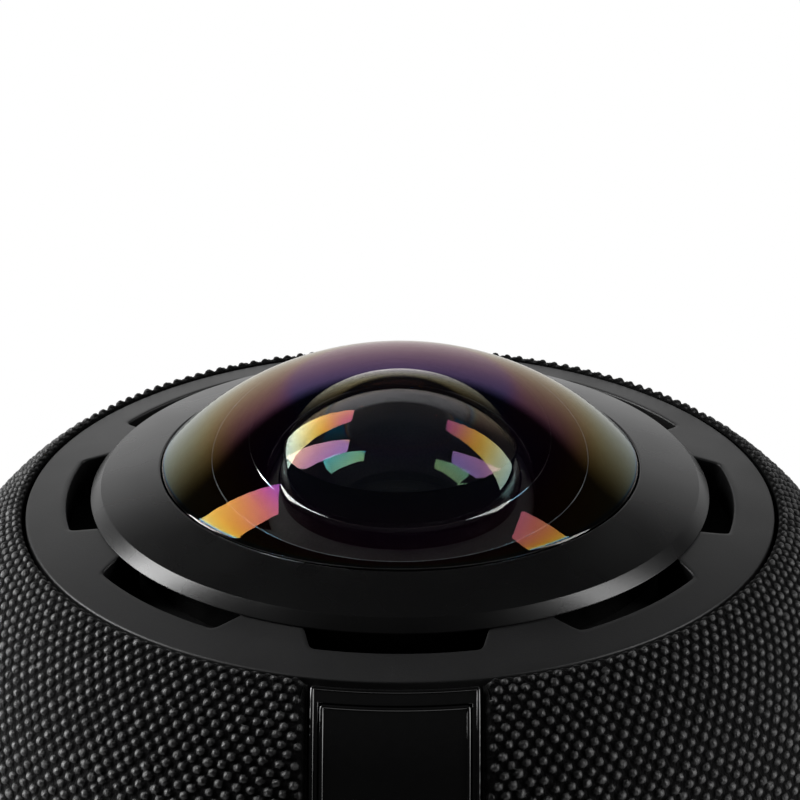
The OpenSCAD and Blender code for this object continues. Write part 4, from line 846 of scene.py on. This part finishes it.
def knit_grid(runs, angles, tuck, settings):
    """Points and marks of a band of the cover, from grids of lengths along the body and angles
    from the front. The ground lies at a fixed inset, knots stand off it, the edges beside the
    strip and at the foot roll inwards as a quarter circle, and a tuck moves points further in."""
    x = outline(runs, GROUND)[0] * np.sin(angles)
    gap = np.hypot(np.maximum(np.abs(x) - CUT_HALF, 0), np.maximum(runs - CUT_LOW_RUN, 0))
    beside = np.where(np.cos(angles) > 0, gap, 99.0)
    hem, to_end = settings.hem_round / MM, COVER_END - runs
    near_strip, near_end = (np.clip(hem - far, 0, hem) for far in (beside, to_end))
    roll = hem - np.sqrt(np.clip(hem**2 - near_strip**2, 0, None))
    roll = roll + hem - np.sqrt(hem**2 - near_end**2)
    height, shade = knots(angles / (2 * np.pi) * settings.columns, runs, settings)
    fade = np.clip(beside / hem, 0.25, 1) * np.clip(1 + runs / TOP_FADE, 0, 1)
    rise = height * (fade * np.clip(to_end / hem, 0, 1))
    radius, z = outline(runs, GROUND + roll + tuck - settings.knot_height / MM * rise)
    points = np.stack([radius * np.sin(angles), -radius * np.cos(angles), z], axis=-1)
    return points, {"knot_tone": shade, "knot_rise": np.clip(rise, 0, 1)}


def band_grid(run, spacing, blend):
    """Lengths along the body, angles from the back to the front and tucks of half a band.
    Columns are evenly spaced. With a blend they stop beside the strip, that many more close up to
    its opening, and the last ones are tucked in there."""
    front = BESIDE_STRIP if blend else 0.0
    steady = np.linspace(math.pi, front, int(round((math.pi - front) / spacing)) + 1)
    angles = np.repeat(steady[None, :], len(run), axis=0)
    tuck = np.zeros(len(steady))
    if blend:
        edge = np.arcsin(CUT_HALF / outline(run, GROUND)[0])[:, None]
        share = np.sin(np.linspace(0, math.pi / 2, blend + 1)[1:])[None, :]
        wall = np.repeat(edge, len(SIDE_TUCK), axis=1)
        angles = np.concatenate([angles, front + (edge - front) * share, wall], axis=1)
        tuck = np.concatenate([tuck, np.zeros(blend), SIDE_TUCK])
    runs = np.repeat(run[:, None], angles.shape[1], axis=1)
    return runs, angles, np.repeat(tuck[None, :], len(run), axis=0)


class CONFERENCE_OT_cover(bpy.types.Operator):
    """Knit cover, in ten panels that meet edge to edge between two rows of knots"""

    bl_idname = "conference.cover"
    bl_label = "Knit cover"

    def execute(self, context):
        settings = context.scene.camera_knit
        pitch, step = settings.row_pitch / MM, 2 * np.pi / settings.columns
        hem = np.linspace(-HEM_R * (START_ANGLE + HEM_TURN), 0, 9)[:-1]
        top_end, shoulder_end = TOP_ROWS * pitch, SHOULDER_ROWS * pitch
        to_middle = 0.5 * (CUT_LOW_RUN + COVER_END) - shoulder_end
        low_end = shoulder_end + round(to_middle / pitch) * pitch
        first_low = shoulder_end + math.ceil((CUT_LOW_RUN - shoulder_end) / pitch * 3) * pitch / 3

        def rows(start, end, per_row):
            return np.append(np.arange(start, end - 0.2 * pitch / per_row, pitch / per_row), end)

        bands = {
            "top": (np.concatenate([hem, rows(0.0, top_end, 6)]), step / 6, 18),
            "shoulder": (rows(top_end, shoulder_end, 6), step / 6, 18),
            "middle": (rows(shoulder_end, CUT_LOW_RUN, 3), step / 4, 9),
            "low": (np.append([CUT_LOW_RUN] * 2, rows(first_low, low_end, 3)), step / 4, 0),
            "foot": (rows(low_end, COVER_END, 3), step / 4, 0),
        }
        for band, (run, spacing, blend) in bands.items():
            runs, angles, tuck = band_grid(run, spacing, blend)
            if band == "low":
                x = np.abs(np.sin(angles[0])) * outline(run[0], GROUND)[0]
                tuck[0] = np.where((x < CUT_HALF) & (np.cos(angles[0]) > 0), LOW_TUCK, 0.0)
            for side, sign in (("right", 1), ("left", -1)):
                points, marks = knit_grid(runs, sign * angles, tuck, settings)
                piece = add_piece(f"knit_{band}_{side}", grid_patch(points), "fabric",
                                  stands_for="fabric_cover", sharp=None, marks=marks)
        return {"FINISHED"}


# Front strip, in mm

FRAME_INSET, FRAME_DEPTH = 0.8, 3.2  # face and back of the frame
PANEL_INSET, PANEL_DEPTH = 0.9, 2.0  # face and back of the panel
FRAME_TOP_R, PANEL_TOP_R = 38.3, 39.6  # where they start on the shoulder
FRAME_RUN = run_on_shoulder(FRAME_TOP_R, FRAME_INSET)
PANEL_RUN = run_on_shoulder(PANEL_TOP_R, PANEL_INSET)
PANEL_GAP, KEY_GAP, LIGHT_GAP = 0.1, 0.25, 0.1
LIGHT_ROOM, FIRST_KEY_ROOM, LAST_KEY_ROOM = 4.0, 6.5, 7.0  # from a hole to its cell's end


def rim_path(xs, runs, fan=6):
    """Points and outward directions round a rectangle given by its samples across and along, with
    a fan of directions at each corner."""
    a = np.linspace(0, np.pi / 2, fan)
    corner = np.column_stack([np.cos(a), np.sin(a)])
    quarter = np.array([[0.0, -1.0], [1.0, 0.0]])
    west, east, north, south = xs[0], xs[-1], runs[0], runs[-1]
    points, ways = [], []
    sides = (
        (np.column_stack([np.full(len(runs), east), runs]), (1.0, 0.0), (east, south)),
        (np.column_stack([xs[::-1], np.full(len(xs), south)]), (0.0, 1.0), (west, south)),
        (np.column_stack([np.full(len(runs), west), runs[::-1]]), (-1.0, 0.0), (west, north)),
        (np.column_stack([xs, np.full(len(xs), north)]), (0.0, -1.0), (east, north)),
    )
    for side, way, end in sides:
        points += [side, np.repeat([end], fan, axis=0)]
        ways += [np.repeat([way], len(side), axis=0), corner]
        corner = corner @ quarter.T
    return np.concatenate(points), np.concatenate(ways)


def swept(path, ways, away, inset):
    """A section of (distance away, inset) carried along a path on the body's front: each point of
    the path is moved by the distance along its direction."""
    return on_body(path[None] + away[:, None, None] * ways[None], inset[:, None])


def round_edge(path, ways, small, top, depth):
    """A rounded edge along a path: a quarter circle from the face down to the wall, then down the
    wall."""
    a = np.linspace(0, np.pi / 2, 6)
    return swept(path, ways, np.append(small * np.sin(a), small),
                 np.append(top + small * (1 - np.cos(a)), depth))


def round_lip(path, ways, small, top, depth):
    """A lip along a path: a half circle that stands on the face, then down the wall."""
    a = np.linspace(0, np.pi, 10)
    return swept(path, ways, np.append(small * (1 - np.cos(a)), 2 * small),
                 np.append(top - small * np.sin(a), depth))


def frame_patch(settings):
    """Frame of the strip: a band between two rectangles on the body, with a lip outside and a
    rounded edge inside."""
    small = settings.strip_round / MM
    groove = 0.4 * small
    half, inner = FRAME_HIGH[0] - 2 * small, PANEL_HIGH[0] + PANEL_GAP + groove
    start, end = FRAME_RUN + 2 * small, run_at(FRAME_LOW[2]) - 2 * small
    inner_start = PANEL_RUN - PANEL_GAP - groove
    inner_end = run_at(PANEL_LOW[2]) + PANEL_GAP + groove
    t, s = np.linspace(-1, 1, 25), np.linspace(0, 1, 240)
    outer_path, outer_ways = rim_path(half * t, start + (end - start) * s)
    inner_path, inner_ways = rim_path(inner * t, inner_start + (inner_end - inner_start) * s)
    share = np.linspace(0, 1, 5)[1:-1, None, None]
    return grid_patch(np.concatenate([
        round_lip(outer_path, outer_ways, small, FRAME_INSET, FRAME_DEPTH)[::-1],
        on_body(outer_path[None] + (inner_path - outer_path)[None] * share, FRAME_INSET),
        round_edge(inner_path, -inner_ways, groove, FRAME_INSET, PANEL_DEPTH)]), True, True)


def oriented(patch):
    """A patch of the front of the body with its faces turned to the front."""
    points, faces = patch
    a, b, c, d = (points[faces[:, k]] for k in range(4))
    return points, faces if np.cross(c - a, d - b)[:, 1].sum() < 0 else faces[:, ::-1]


def panel_cell(xs, runs, hole, small):
    """A rectangle of the panel: a plain grid, or, with a hole of (radius, place along the body),
    rings that go from the hole's wall over its rounded edge and out to the rectangle, each point
    straight from the hole's centre to its place on the rectangle."""
    if not hole:
        return oriented(grid_patch(on_body(np.stack(np.meshgrid(xs, runs), axis=-1), PANEL_INSET)))
    radius, centre = hole[0], (0.0, hole[1])
    spoke = rim_path(xs, runs, 1)[0] - centre
    way = spoke / np.linalg.norm(spoke, axis=1, keepdims=True)
    a = np.linspace(np.pi / 2, 0, 5)
    ring = way[None] * np.append(radius, radius + small * (1 - np.sin(a)))[:, None, None]
    share = np.linspace(0, 1, 6)[1:, None, None]
    rest = ring[-1][None] + (spoke - ring[-1])[None] * share
    inset = np.concatenate([[PANEL_DEPTH], PANEL_INSET + small * (1 - np.cos(a)),
                            np.full(len(share), PANEL_INSET)])
    grid = on_body(np.concatenate([ring, rest]) + centre, inset[:, None])
    return oriented(grid_patch(grid, False, True))


def panel_patch(settings):
    """Panel of the strip: plain and pierced rectangles end to end, with a round lip and a wall
    round them."""
    small = settings.strip_round / MM
    half = PANEL_HIGH[0] - 2 * small
    start, end = PANEL_RUN + 2 * small, run_at(PANEL_LOW[2]) - 2 * small
    light = run_at((LIGHT_LOW[2] + LIGHT_HIGH[2]) / 2)
    boxes = [box_mm(key) for key in KEYS]
    keys = [run_at(low[2] / 2 + high[2] / 2) for low, high in boxes]
    key_hole, light_hole = boxes[0][1][0] + KEY_GAP, LIGHT_HIGH[0] + LIGHT_GAP
    cuts = [start, light - LIGHT_ROOM, light + LIGHT_ROOM, keys[0] - FIRST_KEY_ROOM,
            *((a + b) / 2 for a, b in zip(keys, keys[1:])), keys[-1] + LAST_KEY_ROOM, end]
    holes = [None, (light_hole, light), None, *((key_hole, key) for key in keys), None]
    xs = np.linspace(-half, half, 25)
    spans = [np.linspace(low, high, max(4, int((high - low) / 0.5)))
             for low, high in zip(cuts, cuts[1:])]
    along = np.unique(np.round(np.concatenate(spans), 6))
    rim = round_lip(*rim_path(xs, along), small, PANEL_INSET, PANEL_DEPTH)
    return joined(*(panel_cell(xs, span, hole, small) for span, hole in zip(spans, holes)),
                  oriented(grid_patch(rim, False, True)))


class CONFERENCE_OT_strip(bpy.types.Operator):
    """Glossy frame and panel of the front strip"""

    bl_idname = "conference.strip"
    bl_label = "Front strip"

    def execute(self, context):
        settings = context.scene.camera_trim
        add_piece("strip_border", frame_patch(settings), "gloss_black", stands_for="strip_frame")
        add_piece("strip_window", panel_patch(settings), "gloss_black", stands_for="strip_panel")
        return {"FINISHED"}


# Keys, in mm

KEY_STEM, KEY_COLLAR, KEY_COLLAR_HIGH, KEY_CAP_DEEP = 2.0, 0.8, 0.9, 1.1
KEY_DISH_R, KEY_DISH, KEY_ROUND, KEY_RIM = 34.25, 0.25, 0.35, 0.6
SIGN_BASE, SIGN_TOP = 0.3, 0.12  # below the key's rim
SIGN_HALF, SIGN_THICK = 1.1, 0.16  # of a bar, to the middle of its round end, and its radius
MUTE_RING, MODE_DOT = (1.05, 1.35), 0.5
LIGHT_DOME = 5.0  # radius of the status light's face


def key_profile(face, back, cap, collar):
    """Half section of a key along its axis: a dished face, a round edge, the cap, the stem and
    its collar."""
    end = 180.0 - reach_of(cap - KEY_RIM, KEY_DISH_R)
    dish = arc((0.0, face + KEY_DISH_R - KEY_DISH), KEY_DISH_R, 180.0, end, 14)
    dish[0, 0] = 0.0
    edge = arc((cap - KEY_ROUND, face - KEY_ROUND), KEY_ROUND, 0.0, 90.0, 6)
    under, wide, high = face - KEY_CAP_DEEP, KEY_STEM + KEY_COLLAR, collar + KEY_COLLAR_HIGH
    rest = [(cap, under), (KEY_STEM, under), (KEY_STEM, high), (wide, high), (wide, collar),
            (KEY_STEM, collar), (KEY_STEM, back), (0.0, back)]
    return np.concatenate([dish, edge, rest])


def bar_patch(half, thick, low, high):
    """A bar with round ends, seen along its height: an outline of two half circles carried up and
    drawn in at the top."""
    a = np.linspace(0, 2 * np.pi, 40, endpoint=False)
    flat = polar(thick, a, 0.0)[:, :2] + np.column_stack([np.sign(np.cos(a)) * half, 0 * a])
    rows = ((0.0, low), (1.0, low), (1.0, high - 0.04), (0.9, high), (0.0, high))
    return grid_patch(np.stack([
        np.column_stack([flat * share, np.full(len(a), z)]) for share, z in rows]), False, True)


class CONFERENCE_OT_keys(bpy.types.Operator):
    """Four dished keys with plain signs, and the status light"""

    bl_idname = "conference.keys"
    bl_label = "Keys and light"

    def execute(self, context):
        for key in KEYS:
            low, high = box_mm(key)
            z, face, body = (low[2] + high[2]) / 2, -low[1], key + "_body"
            profile = key_profile(face, -high[1], high[0], -FRAME_HIGH[1])
            add_piece(key + "_cap", facing_front(spin(profile, 96, False), z), SLOT_OF[key], body,
                      stands_for=key)
            base, top = face - SIGN_BASE, face - SIGN_TOP
            near, far = MUTE_RING
            bar = bar_patch(SIGN_HALF, SIGN_THICK, base, top)
            upright = bar[0][:, [1, 0, 2]], bar[1][:, ::-1]
            signs = {
                "mute_key": spin(rounded([(near, base), (far, base), (far, top), (near, top)],
                                         0.05), 48),
                "volume_up_key": joined(bar, upright),
                "volume_down_key": bar,
                "mode_key": bar_patch(0.0, MODE_DOT, base, top),
            }
            add_piece(key + "_sign", facing_front(signs[key], z), "light", body)
        z, r = (LIGHT_LOW[2] + LIGHT_HIGH[2]) / 2, LIGHT_HIGH[0]
        face, back = -LIGHT_LOW[1], -LIGHT_HIGH[1]
        dome = arc((0.0, face - LIGHT_DOME), LIGHT_DOME, 0.0, reach_of(r, LIGHT_DOME), 10)
        pipe = np.concatenate([dome, [(r, back), (0.0, back)]])
        add_piece("status_light_pipe", facing_front(spin(pipe, 48, False), z), "light",
                  stands_for="status_light")
        return {"FINISHED"}


# Base, in mm

THREAD_PITCH, THREAD_BORE, THREAD_DEEP, THREAD_LEAD = 1.27, 3.175, 0.5, 0.6
INSERT_CROWN, SLEEVE_R, FLANGE_R = 1.0, 5.175, 7.175
FLANGE_FROM, FLANGE_TO = 2.0, 3.5  # above the insert's lower end
FOOT_WIDE, GROOVE_DEEP = 6.0, 0.35
GROOVES = np.linspace(0.9, 5.1, 5)  # from the foot ring's outer edge


def thread_patch():
    """Tripod insert: an outer wall and flange, and a bore whose radius follows a helical triangle
    wave, one turn for each pitch of height."""
    low, high = INSERT_LOW[2], INSERT_HIGH[2]
    end, under, over = high - INSERT_CROWN, low + FLANGE_FROM, low + FLANGE_TO
    a = np.linspace(0, 2 * np.pi, 72, endpoint=False)
    z = np.linspace(end, low, 90)[:, None]
    wave = np.abs(((z / THREAD_PITCH - a / (2 * np.pi)) % 1.0) * 2 - 1)
    fade = np.clip(np.minimum((z - low) / THREAD_LEAD, (end - z) / THREAD_LEAD), 0, 1)
    wall = np.array([(0.0, high), (SLEEVE_R, high), (SLEEVE_R, over), (FLANGE_R, over),
                     (FLANGE_R, under), (SLEEVE_R, under), (SLEEVE_R, low)])
    return grid_patch(np.concatenate([
        polar(wall[:, :1], a, wall[:, 1:]),
        polar(THREAD_BORE + THREAD_DEEP * wave * fade, a, z)[::-1],
        polar(0.0, a, end)[None]]), False, True)


class CONFERENCE_OT_base(bpy.types.Operator):
    """Grooved foot ring and threaded tripod insert"""

    bl_idname = "conference.base"
    bl_label = "Base"

    def execute(self, context):
        low, high, out = FOOT_LOW[2], FOOT_HIGH[2], FOOT_HIGH[0]
        deep, inner = low + GROOVE_DEEP, out - FOOT_WIDE
        teeth = np.concatenate([
            [(g + 0.25, low), (g + 0.1, deep), (g - 0.1, deep), (g - 0.25, low)]
            for g in out - GROOVES])
        corners = np.concatenate([[(inner, low), (inner, high), (out, high), (out, low)], teeth])
        radii = np.concatenate([[0.3, 0.1, 0.1, 0.3], np.full(len(teeth), 0.05)])
        add_piece("foot_tread", spin(rounded(corners, radii, 4), 180), "rubber",
                  stands_for="foot_ring")
        add_piece("tripod_thread_insert", thread_patch(), "brass", stands_for="tripod_insert",
                  sharp=35)
        return {"FINISHED"}


class CONFERENCE_OT_solids(bpy.types.Operator):
    """Finishes on the solids that stay as they are"""

    bl_idname = "conference.solids"
    bl_label = "Other solids"

    def execute(self, context):
        for node, solid in frame["nodes"].items():
            solid.data.materials.clear()
            solid.data.materials.append(finish_of(SLOT_OF[node]))
        return {"FINISHED"}


# Studio, in metres

PHOTO_LENS, PHOTO_SENSOR = 186.36, 36.0  # focal length and sensor width, in mm
# Each soft box's place and its share of the lamp power
SOFT_BOXES = {"soft_box_left": (-0.685, 0.146, 1.0), "soft_box_right": (0.698, -0.049, 0.5)}
SOFT_BOX_WIDE, SOFT_BOX_HIGH = 0.24, 1.15
FLOOR_REACH, FLOOR_STEPS = (0.01, 0.5), 96
SHADOW_REACH, WHITE_REACH = 0.16, 0.40  # where the floor starts and ends its turn to white


class CONFERENCE_OT_studio(bpy.types.Operator):
    """Floor, backdrop, soft boxes and the camera"""

    bl_idname = "conference.studio"
    bl_label = "Studio"

    def execute(self, context):
        scene, settings = context.scene, context.scene.camera_studio
        scene.view_settings.view_transform = "Standard"
        reach, turned = settings.camera_reach, settings.camera_turn
        camera = bpy.data.objects.new("photo_camera", bpy.data.cameras.new("photo_camera"))
        scene.collection.objects.link(camera)
        camera.location = (reach * math.sin(turned), -reach * math.cos(turned),
                           settings.camera_height)
        camera.rotation_euler = (math.pi / 2 - settings.camera_tilt, 0.0, turned)
        camera.data.lens, camera.data.sensor_width = PHOTO_LENS, PHOTO_SENSOR
        camera.data.clip_start = 0.01
        scene.camera = camera
        for name, (x, y, share) in SOFT_BOXES.items():
            lamp = bpy.data.lights.new(name, "AREA")
            lamp.shape, lamp.energy = "RECTANGLE", share * settings.lamp_power
            lamp.size, lamp.size_y = SOFT_BOX_WIDE, SOFT_BOX_HIGH
            box = bpy.data.objects.new(name, lamp)
            scene.collection.objects.link(box)
            box.location = (x, y, SOFT_BOX_HIGH / 2)
            box.rotation_euler = (math.pi / 2, 0.0, math.atan2(y, x) + math.pi / 2)
            box.visible_camera = False
        self.make_floor(scene, scene.camera_colours.floor)
        self.make_backdrop(scene, settings.ambient)
        return {"FINISHED"}

    def make_floor(self, scene, pale):
        """A pale disc that keeps its shadows near the object and turns to the white of the
        backdrop further out."""
        finish = Finish("floor", Roughness=0.7, Specular_IOR_Level=0.2)
        finish.set(finish.shader, {"Base Color": finish.shades(
            finish.noise(1.5, 3.0), tuple(0.985 * c for c in pale), pale)})
        away = finish.add("VectorMath", {0: finish.place}, operation="LENGTH").outputs["Value"]
        ray = finish.add("LightPath").outputs
        seen = finish.sum("MAXIMUM", ray["Is Camera Ray"], ray["Is Glossy Ray"])
        seen = finish.sum("MAXIMUM", seen, ray["Is Transmission Ray"])
        far = finish.mapped(away, SHADOW_REACH, WHITE_REACH, 0.0, 1.0, True)
        white = finish.add("Emission", {"Color": (1.0, 1.0, 1.0, 1.0), "Strength": 1.0})
        mix = finish.add("MixShader", {
            0: finish.sum("MULTIPLY", seen, far), 1: finish.shader.outputs[0], 2: white.outputs[0]})
        finish.set(finish.nodes["Material Output"], {"Surface": mix.outputs[0]})
        reach = np.linspace(*FLOOR_REACH, 12)
        points, faces = spin(np.column_stack([reach, 0 * reach]), FLOOR_STEPS, False)
        mesh = bpy.data.meshes.new("floor")
        mesh.from_pydata(points, [], [*faces[:, ::-1].tolist(), list(range(FLOOR_STEPS))])
        mesh.materials.append(finish.material)
        floor = bpy.data.objects.new("floor", mesh)
        scene.collection.objects.link(floor)

    def make_backdrop(self, scene, ambient):
        """White to the camera and straight through glass. In reflections it is a white wall behind
        the object, up to about 30 degrees above the horizon, and elsewhere a dark studio with a
        dim ceiling."""
        scene.world = bpy.data.worlds.new("studio")
        scene.world.use_nodes = True
        sky = Nodes(scene.world.node_tree)
        way = sky.add("SeparateXYZ", {0: sky.add("TexCoord").outputs["Generated"]}).outputs
        ray = sky.add("LightPath").outputs
        behind = sky.mapped(way["Y"], 0.52, 0.92, ambient, 1.0, True)
        leftwards = sky.mapped(way["X"], -0.6, 0.6, 1.0, 0.6, True)
        wall_top = sky.mapped(way["Z"], 0.40, 0.54, 1.0, 0.0, True)
        ceiling = sky.mapped(way["Z"], 0.52, 0.98, ambient, 0.04, True)
        straight = sky.mapped(ray["Glossy Depth"], 0.0, 1.0, 1.0, 0.0, True)
        wall = sky.sum("MULTIPLY", wall_top, sky.sum("MULTIPLY", behind, leftwards))
        through = sky.sum("MULTIPLY", ray["Is Transmission Ray"], straight)
        seen = sky.sum("MAXIMUM", ray["Is Camera Ray"], through)
        light = sky.sum("MAXIMUM", sky.sum("MAXIMUM", wall, ceiling), seen)
        sky.set(sky.nodes["Background"], {"Color": light})


OPERATORS = (
    CONFERENCE_OT_studio, CONFERENCE_OT_solids, CONFERENCE_OT_lens, CONFERENCE_OT_bezel,
    CONFERENCE_OT_ring, CONFERENCE_OT_cover, CONFERENCE_OT_strip, CONFERENCE_OT_keys,
    CONFERENCE_OT_base)


class VIEW3D_PT_conference_camera(bpy.types.Panel):
    """Lists the pieces of the camera and their settings"""

    bl_label = "360 Degree Camera"
    bl_space_type = "VIEW_3D"
    bl_region_type = "UI"
    bl_category = "Camera"

    def draw(self, context):
        for operator in OPERATORS:
            self.layout.operator(operator.bl_idname)
        for name, group in SETTINGS.items():
            box = self.layout.box()
            for key in group.__annotations__:
                box.prop(getattr(context.scene, name), key)


CLASSES = (*SETTINGS.values(), *OPERATORS, VIEW3D_PT_conference_camera)


def register():
    """Registers the classes and puts the settings on the scene."""
    for kind in CLASSES:
        bpy.utils.register_class(kind)
    for name, group in SETTINGS.items():
        setattr(bpy.types.Scene, name, bpy.props.PointerProperty(type=group))


def unregister():
    """Takes the settings off the scene and unregisters the classes."""
    for name in SETTINGS:
        delattr(bpy.types.Scene, name)
    for kind in reversed(CLASSES):
        bpy.utils.unregister_class(kind)


def main():
    """Makes every piece in order."""
    register()
    bpy.ops.conference.studio()
    bpy.ops.conference.solids()
    bpy.ops.conference.lens()
    bpy.ops.conference.bezel()
    bpy.ops.conference.ring()
    bpy.ops.conference.cover()
    bpy.ops.conference.strip()
    bpy.ops.conference.keys()
    bpy.ops.conference.base()


if __name__ == "__main__":
    main()
